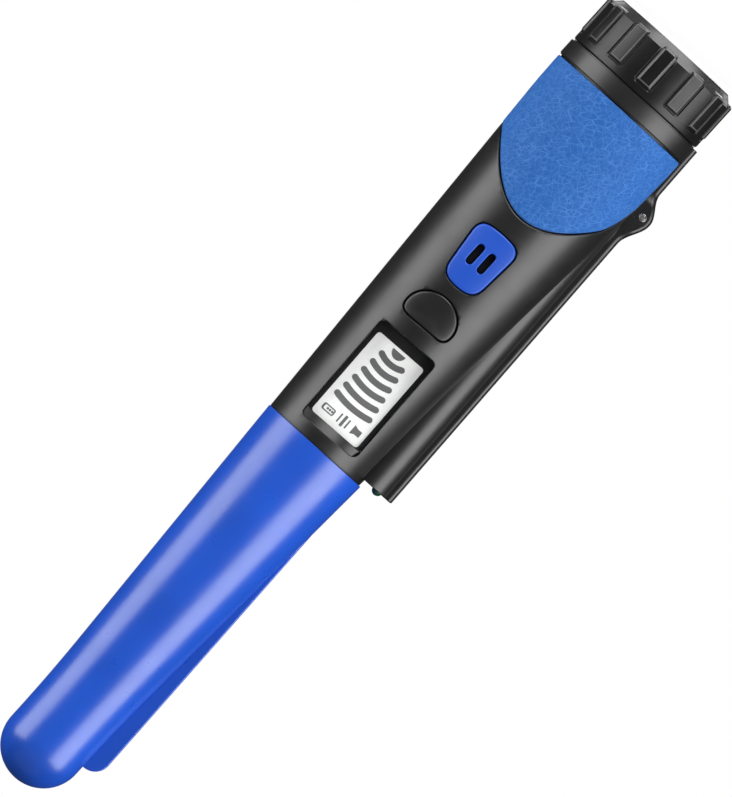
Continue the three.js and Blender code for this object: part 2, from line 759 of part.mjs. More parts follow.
// An off-centre half disc on the motor's shaft.
function eccentricWeight() {
  const shaft = rod(0.5, MOTOR_FRONT_Z - 2.8, MOTOR_FRONT_Z + 4, 12);
  const disc = rod(3, MOTOR_FRONT_Z + 0.6, MOTOR_FRONT_Z + 3.8, 24);
  return join(shaft, cut(disc, block(-4, 4, 0.8, 5, 80, 90)));
}

// ---------------------------------------------------------------- coil sheath and search coil

function probeSheath() {
  const tipR = sheathRadius(TIP_Z);
  const arc = (radius, centreZ, steps, from, to) => {
    const points = [];
    for (let i = 0; i <= steps; i += 1) {
      const angle = (from + ((to - from) * i) / steps) * (Math.PI / 2);
      points.push([Math.max(0, radius * Math.cos(angle)), centreZ + radius * Math.sin(angle)]);
    }
    return points;
  };
  const sideStations = [SHEATH_RIM_Z + 0.4, NOSE_START_Z, 209, 215, 221, NOSE_END_Z];
  const outer = turned([
    [0, SHEATH_RIM_Z],
    [SHEATH_RIM_R - 0.35, SHEATH_RIM_Z],
    ...sideStations.map((z) => [sheathRadius(z), z]),
    ...arc(tipR, TIP_Z - tipR, 6, 0, 1),
  ]);
  const spigot = turned([
    [0, SPIGOT_END_Z],
    [SPIGOT_R, SPIGOT_END_Z],
    [SPIGOT_R, 129.2],
    [11.5, 129.2],
    [11.5, 130.4],
    [SPIGOT_R, 130.4],
    [SPIGOT_R, SHEATH_RIM_Z + 0.2],
    [0, SHEATH_RIM_Z + 0.2],
  ]);
  const relief = block(-14, 14, -14, -6.5, SPIGOT_END_Z - 1, 128.6);
  const fin = new THREE.Shape();
  fin.moveTo(-8, FIN_FRONT_Z);
  fin.lineTo(-FIN_FRONT_X + FIN_CORNER_R, FIN_FRONT_Z);
  fin.absarc(
    -FIN_FRONT_X + FIN_CORNER_R,
    FIN_FRONT_Z - FIN_CORNER_R,
    FIN_CORNER_R,
    Math.PI / 2,
    Math.PI,
    false,
  );
  fin.lineTo(-FIN_REAR_X, FIN_REAR_Z);
  fin.lineTo(-8, FIN_REAR_Z);
  const blade = sidePrism(fin, -FIN_HALF_THICKNESS, FIN_HALF_THICKNESS);
  const boreTipR = tipR - SHEATH_WALL;
  const bore = turned([
    [0, SPIGOT_END_Z - 1],
    [SPIGOT_BORE_R, SPIGOT_END_Z - 1],
    [SPIGOT_BORE_R, SHEATH_RIM_Z],
    [sheathRadius(136) - SHEATH_WALL, 136],
    [sheathRadius(NOSE_START_Z) - SHEATH_WALL, NOSE_START_Z],
    [sheathRadius(215) - SHEATH_WALL, 215],
    ...arc(boreTipR, TIP_Z - tipR, 4, 0, 1),
  ]);
  return cut(join(outer, cut(spigot, relief), blade), bore);
}

// The former is a spool: a tube with flanges that divide it into three winding spaces.
function coilFormer() {
  const side = FLANGE_CENTRES.flatMap((z) => [
    [FORMER_R, z - FLANGE_HALF],
    [FORMER_FLANGE_R, z - FLANGE_HALF],
    [FORMER_FLANGE_R, z + FLANGE_HALF],
    [FORMER_R, z + FLANGE_HALF],
  ]);
  side.shift();
  side.pop();
  const ends = [[FORMER_BORE_R, FORMER_FRONT_Z], [FORMER_BORE_R, FORMER_REAR_Z], side[0]];
  return turned([...side, ...ends], 18);
}

function winding(index) {
  const z0 = FLANGE_CENTRES[index] + FLANGE_HALF + 0.15;
  const z1 = FLANGE_CENTRES[index + 1] - FLANGE_HALF - 0.15;
  return tube(FORMER_R + 0.15, WINDING_R, z0, z1, 18);
}

// A ring of round section about Z.
function sealRing(centreR, sectionR, z) {
  const sides = 4;
  const profile = [];
  for (let i = 0; i <= sides; i += 1) {
    const angle = ((i % sides) / sides) * 2 * Math.PI;
    profile.push([centreR + sectionR * Math.cos(angle), z + sectionR * Math.sin(angle)]);
  }
  return turned(profile, RING);
}

// ---------------------------------------------------------------- neck, cap and battery

function neckRing() {
  const flangeR = 18.7;
  const body = turned([
    [NECK_BORE_R, 5.4],
    [NECK_R - 0.4, 5.4],
    [NECK_R, 5.8],
    [NECK_R, 17.4],
    [flangeR, 17.4],
    [flangeR, 19.4],
    [NECK_R, 19.4],
    [NECK_R, 25],
    [NECK_BORE_R, 25],
    [NECK_BORE_R, 5.4],
  ]);
  return join(body, threadRidge(NECK_R - 0.2, NECK_THREAD_R, NECK_THREAD_Z));
}

function batteryCap() {
  const shell = turned(
    [
      [0, 0],
      [CAP_FACE_R, 0],
      [18.6, 1.4],
      [19.4, 2.8],
      [CAP_R, 3.9],
      [CAP_R, CAP_RIM_Z - 0.3],
      [CAP_R - 0.3, CAP_RIM_Z],
      [18.45, CAP_RIM_Z],
      [18.45, 13.4],
      [CAP_BORE_R, 13.1],
      [CAP_BORE_R, CAP_WALL],
      [2.4, CAP_WALL],
      [2.4, 1.2],
      [0, 1.2],
    ],
    CAP_SEGMENTS,
  );
  const bars = [];
  for (let i = 0; i < GRIP_BARS; i += 1) {
    const outline = new THREE.Shape();
    outline.moveTo(-BAR_WIDTH / 2, CAP_R - 1.1);
    outline.lineTo(BAR_WIDTH / 2, CAP_R - 1.1);
    outline.lineTo(BAR_WIDTH / 2 - 0.5, BAR_TOP_R);
    outline.lineTo(-BAR_WIDTH / 2 + 0.5, BAR_TOP_R);
    const depth = BAR_FRONT_Z - BAR_REAR_Z;
    const geometry = new THREE.ExtrudeGeometry(outline, { depth, bevelEnabled: false });
    geometry.rotateZ(Math.PI + (i * 2 * Math.PI) / GRIP_BARS).translate(0, 0, BAR_REAR_Z);
    bars.push(solidOf(geometry));
  }
  const thread = threadRidge(CAP_BORE_R + 0.25, CAP_THREAD_R, NECK_THREAD_Z - THREAD_PITCH / 2);
  return join(shell, thread, ...bars);
}

// The disc stays still on the battery while the cap turns round its stud.
function pressureDisc() {
  return turned([[0, 1.4], [2.1, 1.4], [2.1, 3.2], [12, 3.2], [12, 3.9], [0, 3.9]], 20);
}

function battery() {
  const bodyFrontZ = BATTERY_REAR_Z + BATTERY_LENGTH;
  const section = roundedRectangle(
    -BATTERY_WIDTH / 2,
    BATTERY_WIDTH / 2,
    -BATTERY_DEPTH / 2,
    BATTERY_DEPTH / 2,
    1.8,
  );
  const options = { depth: BATTERY_LENGTH, bevelEnabled: false, curveSegments: 4 };
  const body = solidOf(new THREE.ExtrudeGeometry(section, options).translate(0, 0, BATTERY_REAR_Z));
  const stud = rod(2.9, bodyFrontZ - 0.2, bodyFrontZ + 2.2, 18).translate([TERMINAL_X, 0, 0]);
  const socket = cut(
    rod(4.2, bodyFrontZ - 0.2, bodyFrontZ + 2.2, 6),
    rod(3, bodyFrontZ + 0.4, bodyFrontZ + 3, 18),
  );
  return join(body, stud, socket.translate([-TERMINAL_X, 0, 0]));
}

function batteryBulkhead() {
  const disc = rod(BULKHEAD_R, BULKHEAD_Z, BULKHEAD_Z + 1.8, RING);
  const leadHoles = [-1, 1].map((side) => {
    return rod(0.9, BULKHEAD_Z - 1, BULKHEAD_Z + 3, 10).translate([side * TERMINAL_X, 0, 0]);
  });
  return cut(disc, ...leadHoles);
}

// ---------------------------------------------------------------- assembly

function lamp() {
  const rimR = LAMP_R + 0.3;
  const rimHeight = 1;
  const profile = [[0, 0], [rimR, 0], [rimR, rimHeight], [LAMP_R, rimHeight], [LAMP_R, LAMP_BARREL_LENGTH]];
  const domeSteps = 4;
  for (let i = 1; i <= domeSteps; i += 1) {
    const angle = (i / domeSteps) * (Math.PI / 2);
    profile.push([LAMP_R * Math.cos(angle), LAMP_BARREL_LENGTH + LAMP_R * Math.sin(angle)]);
  }
  const legs = [-0.7, 0.7].map((x) => block(x - 0.25, x + 0.25, -0.25, 0.25, -6, 0.2));
  return join(turned(profile, 12), ...legs);
}

const probe = group(
  mesh("probe_sheath", probeSheath(), GLOSS_BLUE),
  mesh("sheath_seal_ring", sealRing(12.02, 0.45, 129.8), RUBBER_BLACK),
  mesh("coil_former", coilFormer(), WHITE_PLASTIC),
  mesh("ferrite_rod", rod(FERRITE_R, 146.5, 226.5, 24), FERRITE_GREY),
  mesh("rear_receive_winding", winding(0), COPPER),
  mesh("transmit_winding", winding(1), COPPER),
  mesh("front_receive_winding", winding(2), COPPER),
  mesh("tip_cushion", rod(5.5, 227, 233, 24), FOAM_GREY),
  mesh("former_spacer", tube(5, 12, 136.5, 141, 20), FOAM_GREY),
  mesh(
    "coil_lead",
    lead(
      [
        [0, 6.8, 146.8],
        [0, 4.6, 143.8],
        [0, 1.5, 140],
        [0, -0.5, 133],
        [0, -2.6, 125],
        [0, -3.9, 119],
      ],
      0.9,
    ),
    LEAD_BLACK,
  ),
);

const casing = group(
  mesh("front_shell", frontShell(), SATIN_BLACK),
  mesh("rear_shell", rearShell(), SATIN_BLACK),
  mesh("front_grip_pad", mirroredInY(gripPad()), GRIP_BLUE),
  mesh("rear_grip_pad", gripPad(), GRIP_BLUE),
  mesh("lanyard_pin", crossRod(PIN_R, -2.2, 2.2, PIN_X, PIN_Z), STEEL),
  ...SCREW_PLACES.map(({ x, z, seatY }, i) => {
    return mesh(`shell_screw_${i + 1}`, shellScrew(), STEEL, [x, seatY + 0.05, z]);
  }),
);

const lampUnit = group(
  mesh("lamp", lamp(), LAMP_GREEN, [LAMP_X, 0, LAMP_Z]),
  mesh("lamp_grommet", tube(1.5, 1.9, 126.05, 128.9, 12), RUBBER_BLACK, [LAMP_X, 0, 0]),
  mesh(
    "lamp_lead",
    lead(
      [
        [-18.4, 0, 118.2],
        [-18.3, 0, 114],
        [-16.5, 0, 110.6],
        [-13.2, -0.4, 109.2],
        [-10.8, -2.6, 108.8],
        [-8.4, -4.5, 108.6],
      ],
      0.55,
    ),
    LEAD_BLACK,
  ),
);

const display = group(
  mesh("display_window", displayWindow(), CLEAR),
  mesh("screen_bezel", screenBezel(), SATIN_BLACK),
  mesh("screen_panel", screenPlate(-10.5, -8.9), SCREEN_GREY),
  mesh("screen_backlight", screenPlate(-8.85, -7), WHITE_PLASTIC),
);

const keys = group(
  mesh("power_key", powerKey(), GLOSS_BLUE),
  mesh("power_key_inlay", powerKeyInlay(), RUBBER_BLACK),
  mesh("mode_key", modeKey(), SATIN_BLACK),
);

const boardParts = group(
  mesh("circuit_board", circuitBoard(), BOARD_GREEN),
  mesh("power_switch", switchBody(), CHIP_BLACK, [0, BOARD_FRONT_Y, POWER_KEY_Z]),
  mesh("power_switch_plunger", crossRod(1.6, PLUNGER_TOP_Y, -8.7, 0, POWER_KEY_Z), WHITE_PLASTIC),
  mesh("mode_switch", switchBody(), CHIP_BLACK, [0, BOARD_FRONT_Y, MODE_KEY_Z]),
  mesh("mode_switch_plunger", crossRod(1.6, PLUNGER_TOP_Y, -8.7, 0, MODE_KEY_Z), WHITE_PLASTIC),
  mesh("controller_chip", chip(7, 1.4, 9), CHIP_BLACK, [0, BOARD_REAR_Y, 86]),
  mesh("amplifier_chip", chip(4, 1.3, 5.2), CHIP_BLACK, [4.5, BOARD_REAR_Y, 109]),
  mesh("storage_capacitor", crossRod(2.5, BOARD_REAR_Y, 0.9, 5.6, 72.5), CHIP_BLACK),
  mesh("sounder", crossRod(5.5, BOARD_REAR_Y, 0.2, 0, 99, 28), CHIP_BLACK),
  mesh("coil_connector", block(-4, 4, BOARD_REAR_Y, -2.7, 113.6, 118.6), WHITE_PLASTIC),
);

const motor = group(
  mesh("vibration_motor", motorCan(), STEEL),
  mesh("eccentric_weight", eccentricWeight(), BRASS),
);
motor.position.y = MOTOR_Y;

const power = group(
  mesh("battery", battery(), BATTERY_GREY),
  mesh("battery_bulkhead", batteryBulkhead(), CHIP_BLACK),
  ...[-1, 1].flatMap((side) => {
    const name = side > 0 ? "positive" : "negative";
    const x = side * TERMINAL_X;
    const route = [
      [x, 0, 53.9],
      [x, 0, 56.4],
      [x * 0.9, -1.6, 59.5],
      [x * 0.7, -3.6, 63],
      [x * 0.6, -4.5, 66.5],
    ];
    return [
      mesh(`${name}_contact`, rod(3.4, 53.3, 53.7, 16), BRASS, [x, 0, 0]),
      mesh(`${name}_lead`, lead(route, 0.6), side > 0 ? LEAD_RED : LEAD_BLACK),
    ];
  }),
);

const capUnit = group(
  mesh("neck_ring", neckRing(), SATIN_BLACK),
  mesh("cap_seal_ring", sealRing(17.74, 0.42, 14.2), RUBBER_BLACK),
  mesh("battery_cap", batteryCap(), SATIN_BLACK),
  mesh("pressure_disc", pressureDisc(), WHITE_PLASTIC),
  mesh("battery_cushion", rod(9, 3.95, 4.5, 24), FOAM_GREY),
);

export default group(probe, casing, lampUnit, display, keys, boardParts, motor, power, capUnit);
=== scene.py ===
"""A hand-held pinpointer probe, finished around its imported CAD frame.

Lengths in this script are in millimetres until add_object() turns them into metres. The probe stands on its
cap: +Z runs from the cap's flat end to the tip, the display faces -Y, and the keel is on the -X side.
"""
import json
import math

import bmesh
import bpy
import numpy as np
from mathutils import Matrix, Vector, noise


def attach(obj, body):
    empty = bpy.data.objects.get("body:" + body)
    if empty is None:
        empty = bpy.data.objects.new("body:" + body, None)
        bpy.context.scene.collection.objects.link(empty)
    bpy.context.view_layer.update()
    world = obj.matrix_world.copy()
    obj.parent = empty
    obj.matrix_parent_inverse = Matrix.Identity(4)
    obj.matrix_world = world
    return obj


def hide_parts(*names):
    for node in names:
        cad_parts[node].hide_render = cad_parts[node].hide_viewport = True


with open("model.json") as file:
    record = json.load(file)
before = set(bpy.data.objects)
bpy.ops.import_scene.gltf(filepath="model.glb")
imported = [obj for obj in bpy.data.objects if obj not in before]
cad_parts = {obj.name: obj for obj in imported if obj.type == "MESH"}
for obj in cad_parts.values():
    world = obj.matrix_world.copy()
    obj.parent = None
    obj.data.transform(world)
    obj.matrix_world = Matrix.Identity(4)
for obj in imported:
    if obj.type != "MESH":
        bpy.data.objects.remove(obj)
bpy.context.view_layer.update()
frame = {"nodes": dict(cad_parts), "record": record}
nodes = frame["nodes"]
MM = 0.001

# ---- driving dimensions (mm)

TIP_Z = 240
SHEATH_RIM_Z = 130.99
SHEATH_RIM_R = 14.95
SHEATH_TAPER = 0.0515
NOSE_START_Z = 203
NOSE_END_Z = 227.3
SHEATH_WALL = 2
SPIGOT_R = 12.3
SPIGOT_BORE_R = 10.3
SPIGOT_END_Z = 121
SEAL_GROOVE_R = 11.5
SEAL_GROOVE_REAR_Z, SEAL_GROOVE_FRONT_Z = 129.2, 130.4
FIN_REAR = (14.1, 148)
FIN_FRONT = (15.15, 226.9)
FIN_CORNER_R = 4.4
FIN_HALF_THICKNESS = 1.1
FIN_ROOT = 9.6

SHELL_FRONT_Z = 131
SHELL_REAR_Z = 15.42
SHELL_FRONT_R = 14.7
SHELL_WALL = 2.1
HANDLE_TAPER = 0.0498
FLARE_Z = 32
PAD_REAR_Z = 20.4
COLLAR_R = 20.18
CAP_LAND_R = 19.6
CAP_LAND_Z = 15.12
AXIS_GAP = 0.05
OUTSIDE_Y = -22
NECK_BORE_R, NECK_GROOVE_R = 17.5, 19.0

KEEL_FRONT_Z = 129.1
KEEL_FRONT_X = 23.26
KEEL_SLOPE = 0.0198
KEEL_HALF_THICKNESS = 1.2
FRONT_RIB_STEP = 0.5
RIB_BEVEL = (0.5, 0.3)
BOSS_Z = 36.4
BOSS_HEIGHT = 3.05
BOSS_SPREAD_FRONT = 8.6
BOSS_SPREAD_REAR = 7.2
BOSS_HALF_THICKNESS = 2.3
BARREL_FRONT = (15.65, 5.75)
BARREL_REAR = (12.58, 6.65)
BARREL_REAR_Z = 30
LAMP_X = -18.6
PIN_X, PIN_Z = -21.85, 36.25
SCREWS = [(-12.6, 60, 7), (12.6, 60, 7), (-10.8, 117, 5), (10.8, 117, 5)]  # x, z and the Y of the seat

WINDOW_Y = -11.9
WINDOW_BACK_Y = -11.0
DISPLAY_REAR_Z = 96.6
DISPLAY_FRONT_Z = 127.1
DISPLAY_HALF_WIDTH = 8.6
DISPLAY_X = -0.35
DISPLAY_MIDDLE_Z = (DISPLAY_REAR_Z + DISPLAY_FRONT_Z) / 2
FACE_SLANT = math.radians(1.2)
FLOOR_Z, FLOOR_R = -9.3, 600
PANEL_Y = -10.5

POWER_KEY_X = 0.6
MODE_KEY_X = 0.3
POWER_KEY_Z = 70.7
MODE_KEY_Z = 87.5
MODE_STEM_Z = 87.4
KEY_BACK_Y = -13.4
KEY_PROUD = 0.12
KEY_GAP = 0.3
OPENING_EDGE = 0.22
OPENING_FLOOR_Y = -11
SLOT_X = 1.78

PAD_NOSE_Z = 56.2
PAD_SWEEP = 14.1
PAD_SWEEP_HALF_WIDTH = 19
PAD_KEEL_Y = 3
PAD_KEEL_CORNER = 5.5
PAD_REAR_CORNER = 1.4
PAD_FAR_Y = 0.5

CAP_RIM_Z = 15
CAP_R = 19.95
CAP_FACE_R = 17.3
BAR_TOP_R = 20.19
BAR_GROOVE = 0.3
BAR_HALF_WIDTH = 2.75
BAR_REAR_Z, BAR_FRONT_Z = 0.95, 13
BAR_REAR_CORNER, BAR_FRONT_CORNER = 1.5, 0.9
BAR_FOOT = 0.45
BAR_GROOVE_EDGES = (0, 0.3, BAR_FOOT)
BAR_CHAMFER_EDGES = (BAR_FOOT, 0.55, 1.2)
BAR_CHAMFER_HEIGHT = 0.42
BAR_ACROSS = (0, 0.6, 1.15, 1.35, 1.45, 1.55, 1.65, 1.8, 2, 2.1, 2.2, 2.25, 2.3, 2.37)
BAR_ACROSS += (2.45, 2.52, 2.6, 2.67, BAR_HALF_WIDTH)
BAR_ENDS_Z = 11.3
BAR_END_STEPS = (0.2, 0.3, 0.4, 0.5, 0.6, 0.7, 0.8, 0.9, 1, 1.08)
BAR_END_STEPS += (1.15, 1.2, 1.25, 1.32, 1.4, 1.48, 1.55, 1.62, 1.7, 1.85)
CAP_RIM_ROUND = ((0, 14.4), (0.03, 14.62), (0.12, 14.82), (0.27, 14.95), (0.45, CAP_RIM_Z))
GRIP_BARS = 13

# ---- outer form


def eased_drop(distance, length, taper):
    """Drop of a taper that eases to zero slope over the given length."""
    return taper * (distance - distance**2 / (2 * length))


def handle_radius(z):
    straight = SHELL_FRONT_R + HANDLE_TAPER * (SHELL_FRONT_Z - np.maximum(z, FLARE_Z))
    flare = np.clip(FLARE_Z - z, 0, FLARE_Z - PAD_REAR_Z)
    return straight + eased_drop(flare, FLARE_Z - PAD_REAR_Z, HANDLE_TAPER)


def sheath_radius(z):
    straight = SHEATH_RIM_R - SHEATH_TAPER * (np.minimum(z, NOSE_START_Z) - SHEATH_RIM_Z)
    length = NOSE_END_Z - NOSE_START_Z
    return straight - eased_drop(np.clip(z - NOSE_START_Z, 0, length), length, SHEATH_TAPER)


def boss_height(z):
    spread = BOSS_SPREAD_FRONT if z > BOSS_Z else BOSS_SPREAD_REAR
    share = min(1, abs(z - BOSS_Z) / spread)
    return BOSS_HEIGHT / 2 * (1 + math.cos(math.pi * share))


def keel_reach(z):
    return KEEL_FRONT_X - KEEL_SLOPE * (KEEL_FRONT_Z - z) + boss_height(z)


def barrel_at(z):
    """Distance of the lamp barrel's centre from the axis, and its radius."""
    share = (z - BARREL_REAR_Z) / (KEEL_FRONT_Z - BARREL_REAR_Z)
    return [a + (b - a) * share for a, b in zip(BARREL_REAR, BARREL_FRONT)]


# ---- mesh helpers


def add_object(name, vertices, faces):
    mesh = bpy.data.meshes.new(name)
    mesh.from_pydata((np.asarray(vertices, float) * MM).tolist(), [], faces)
    work = bmesh.new()
    work.from_mesh(mesh)
    bmesh.ops.remove_doubles(work, verts=work.verts, dist=1e-7)
    bmesh.ops.recalc_face_normals(work, faces=work.faces)
    work.to_mesh(mesh)
    work.free()
    made = bpy.data.objects.new(name, mesh)
    bpy.context.scene.collection.objects.link(made)
    return made


def bands(first, count, rows, wrap_rows=False):
    """Quads between successive closed rings of count points."""
    faces = []
    for k in range(rows if wrap_rows else rows - 1):
        low = first + k * count
        high = first + (k + 1) % rows * count
        for i in range(count):
            j = (i + 1) % count
            faces.append((low + i, low + j, high + j, high + i))
    return faces


def loft(name, rings):
    """A skin over closed rings of equal point counts, closed by a face at each end."""
    count = len(rings[0])
    faces = bands(0, count, len(rings))
    faces.append(tuple(range(count)))
    faces.append(tuple(range((len(rings) - 1) * count, len(rings) * count)))
    return add_object(name, np.concatenate(rings), faces)


def ring_at(radius, angles, z):
    return np.stack([radius * np.cos(angles), radius * np.sin(angles), np.full(len(angles), z)], 1)


def turned(name, profile, segments=160, hollow=False):
    """A body of revolution about Z.

    A hollow profile closes on itself, and any other runs from axis to axis.
    """
    angles = np.arange(segments) * 2 * math.pi / segments
    rings = [ring_at(r, angles, z) for r, z in profile]
    if not hollow:
        return loft(name, rings)
    return add_object(name, np.concatenate(rings), bands(0, segments, len(rings), wrap_rows=True))


def moved(made, x, y, z):
    made.data.transform(Matrix.Translation(Vector((x, y, z)) * MM))
    return made


def laid_along_y(made, x, y, z):
    """Turns a body made about Z so that its axis runs along -Y, and puts its origin at (x, y, z)."""
    made.data.transform(Matrix.Rotation(math.radians(90), 4, "X"))
    return moved(made, x, y, z)


def bake(made):
    """Replaces an object's mesh by its result with modifiers applied."""
    graph = bpy.context.evaluated_depsgraph_get()
    mesh = bpy.data.meshes.new_from_object(made.evaluated_get(graph))
    plain = made.data
    made.modifiers.clear()
    made.data = mesh
    bpy.data.meshes.remove(plain)


def combine(made, tool, operation):
    modifier = made.modifiers.new("boolean", "BOOLEAN")
    modifier.operation = operation
    modifier.solver = "MANIFOLD"
    modifier.object = tool
    bake(made)
    bpy.data.objects.remove(tool)
    return made


def cut(made, *tools):
    for tool in tools:
        combine(made, tool, "DIFFERENCE")
    return made


def join(made, *tools):
    for tool in tools:
        combine(made, tool, "UNION")
    return made


def finish_piece(made, slot, *replaced, body="handle", material=None, sharp_angle=32, weighted=False):
    """Shades a piece, gives it its slot's material or its own, and seats it in the frame."""
    made.data.materials.clear()
    made.data.materials.append(material or finishes[slot])
    made.data.shade_smooth()
    made.data.set_sharp_from_angle(angle=math.radians(sharp_angle))
    if weighted:
        made.modifiers.new("weighted normals", "WEIGHTED_NORMAL").keep_sharp = True
    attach(made, body)
    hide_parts(*replaced)
    return made


def mirror_y(made):
    made.data.transform(Matrix.Scale(-1, 4, Vector((0, 1, 0))))
    made.data.flip_normals()
    return made


# ---- outlines in X and Z


def spaced(outline, spacing=0.45):
    """The same closed outline with points added so that no stretch is longer than the spacing."""
    points = []
    for here, after in zip(outline, np.roll(outline, -1, axis=0)):
        steps = max(1, math.ceil(np.linalg.norm(after - here) / spacing))
        points.extend(here + (after - here) * k / steps for k in range(steps))
    return np.array(points)


def bent(start, corner, end, t):
    """A point at share t of the curve that rounds a corner."""
    return start * (1 - t) ** 2 + corner * 2 * t * (1 - t) + end * t**2


def rounded_outline(corners, steps=8):
    """An outline whose corners (x, z, radius) are rounded."""
    points = []
    for i, (x, z, radius) in enumerate(corners):
        here = np.array([x, z], float)
        before, after = (np.array(corners[j][:2], float) for j in (i - 1, (i + 1) % len(corners)))
        start = here + (before - here) * radius / np.linalg.norm(before - here)
        end = here + (after - here) * radius / np.linalg.norm(after - here)
        points += [bent(start, here, end, k / steps) for k in range(steps + 1)]
    return spaced(np.array(points))


def offset(outline, distance):
    """The outline with each point moved outwards by the distance."""
    along = np.roll(outline, -1, axis=0) - np.roll(outline, 1, axis=0)
    normal = np.stack([along[:, 1], -along[:, 0]], 1)
    normal /= np.linalg.norm(normal, axis=1)[:, None]
    x, z = outline.T
    turning = np.sum(x * np.roll(z, -1) - np.roll(x, -1) * z)
    return outline + normal * distance * math.copysign(1, turning)


def box_outline(x0, x1, z0, z1, radius):
    return rounded_outline([(x0, z0, radius), (x1, z0, radius), (x1, z1, radius), (x0, z1, radius)])


def at_y(outline, y):
    return np.stack([outline[:, 0], np.full(len(outline), y), outline[:, 1]], 1)


def on_surface(outline, depth):
    """The outline laid on the handle's front, sunk by the depth."""
    x, z = outline.T
    radius = handle_radius(z) - depth
    return np.stack([x, -np.sqrt(np.maximum(radius**2 - x**2, 0)), z], 1)


def plate(name, outline, y0, y1, edge):
    """A flat plate between y0 and y1 with rounded edges."""
    turns = [step / 3 * math.pi / 2 for step in range(4)]
    edges = [(edge * (1 - math.sin(turn)), edge * (1 - math.cos(turn))) for turn in turns]
    low = [at_y(offset(outline, -inset), y0 + rise) for inset, rise in edges]
    high = [at_y(offset(outline, -inset), y1 - rise) for inset, rise in reversed(edges)]
    return loft(name, low + high)


def laid_rings(outline, levels):
    """Rings on the handle's front. Levels are (growth of the outline, depth under the surface)."""
    return [on_surface(offset(outline, grow), depth) for grow, depth in levels]


def key_opening(outline):
    """A prism that opens the handle's front round a key, with a rounded edge."""
    edge = OPENING_EDGE
    levels = [(edge * 2.2, -0.35), (edge * 1.15, -0.02), (edge * 0.5, 0.06)]
    levels += [(edge * 0.15, 0.8 * edge), (0, 1.6 * edge)]
    outside = at_y(offset(outline, edge * 2.2), OUTSIDE_Y)
    return loft("cutter", [outside, *laid_rings(outline, levels), at_y(outline, OPENING_FLOOR_Y)])


def slanted(outline, x, z):
    """An outline turned about a point, so that it lies along the middle line of the tapering front face."""
    dx, dz = np.asarray(outline)[:, 0] - x, np.asarray(outline)[:, 1] - z
    cosine, sine = math.cos(FACE_SLANT), math.sin(FACE_SLANT)
    return np.stack([x + dx * cosine - dz * sine, z + dx * sine + dz * cosine], 1)


def trapezoid_outline(grow=0):
    middle = POWER_KEY_X
    outline = rounded_outline([
        (middle - 6.4 - grow, 62.75 - grow, 3.6),
        (middle, 62.3 - grow, 1.3),
        (middle + 6.4 + grow, 62.75 - grow, 3.6),
        (middle + 4.95 + grow, 78.7 + grow, 3.4),
        (middle, 79.15 + grow, 1.3),
        (middle - 4.95 - grow, 78.7 + grow, 3.4),
    ])
    return slanted(outline, middle, POWER_KEY_Z)


def half_round_outline():
    """Half an ellipse towards the cap and a flat side towards the display."""
    half_width, depth, shoulder_z, flat_z, flat_x = 7.05, 6.15, 89.2, 91.95, 4.4
    points = []
    for step in range(33):
        turn = math.pi + step / 32 * math.pi
        points.append((half_width * math.cos(turn), shoulder_z + depth * math.sin(turn)))
    for side in (1, -1):
        start, end = np.array([(half_width * side, shoulder_z), (flat_x * side, flat_z)])[::side]
        corner = np.array([half_width * side, flat_z])
        points += [bent(start, corner, end, step / 8) for step in range(1, 9)]
    return slanted(spaced(np.array(points[:-1]) + np.array([MODE_KEY_X, 0])), MODE_KEY_X, MODE_KEY_Z)


def display_outline(grow=0):
    return display_box(DISPLAY_HALF_WIDTH + grow, DISPLAY_REAR_Z - grow, DISPLAY_FRONT_Z + grow, 1.7)


def display_box(half_width, rear, front, radius):
    outline = box_outline(DISPLAY_X - half_width, DISPLAY_X + half_width, rear, front, radius)
    return slanted(outline, DISPLAY_X, DISPLAY_MIDDLE_Z)


# ---- materials


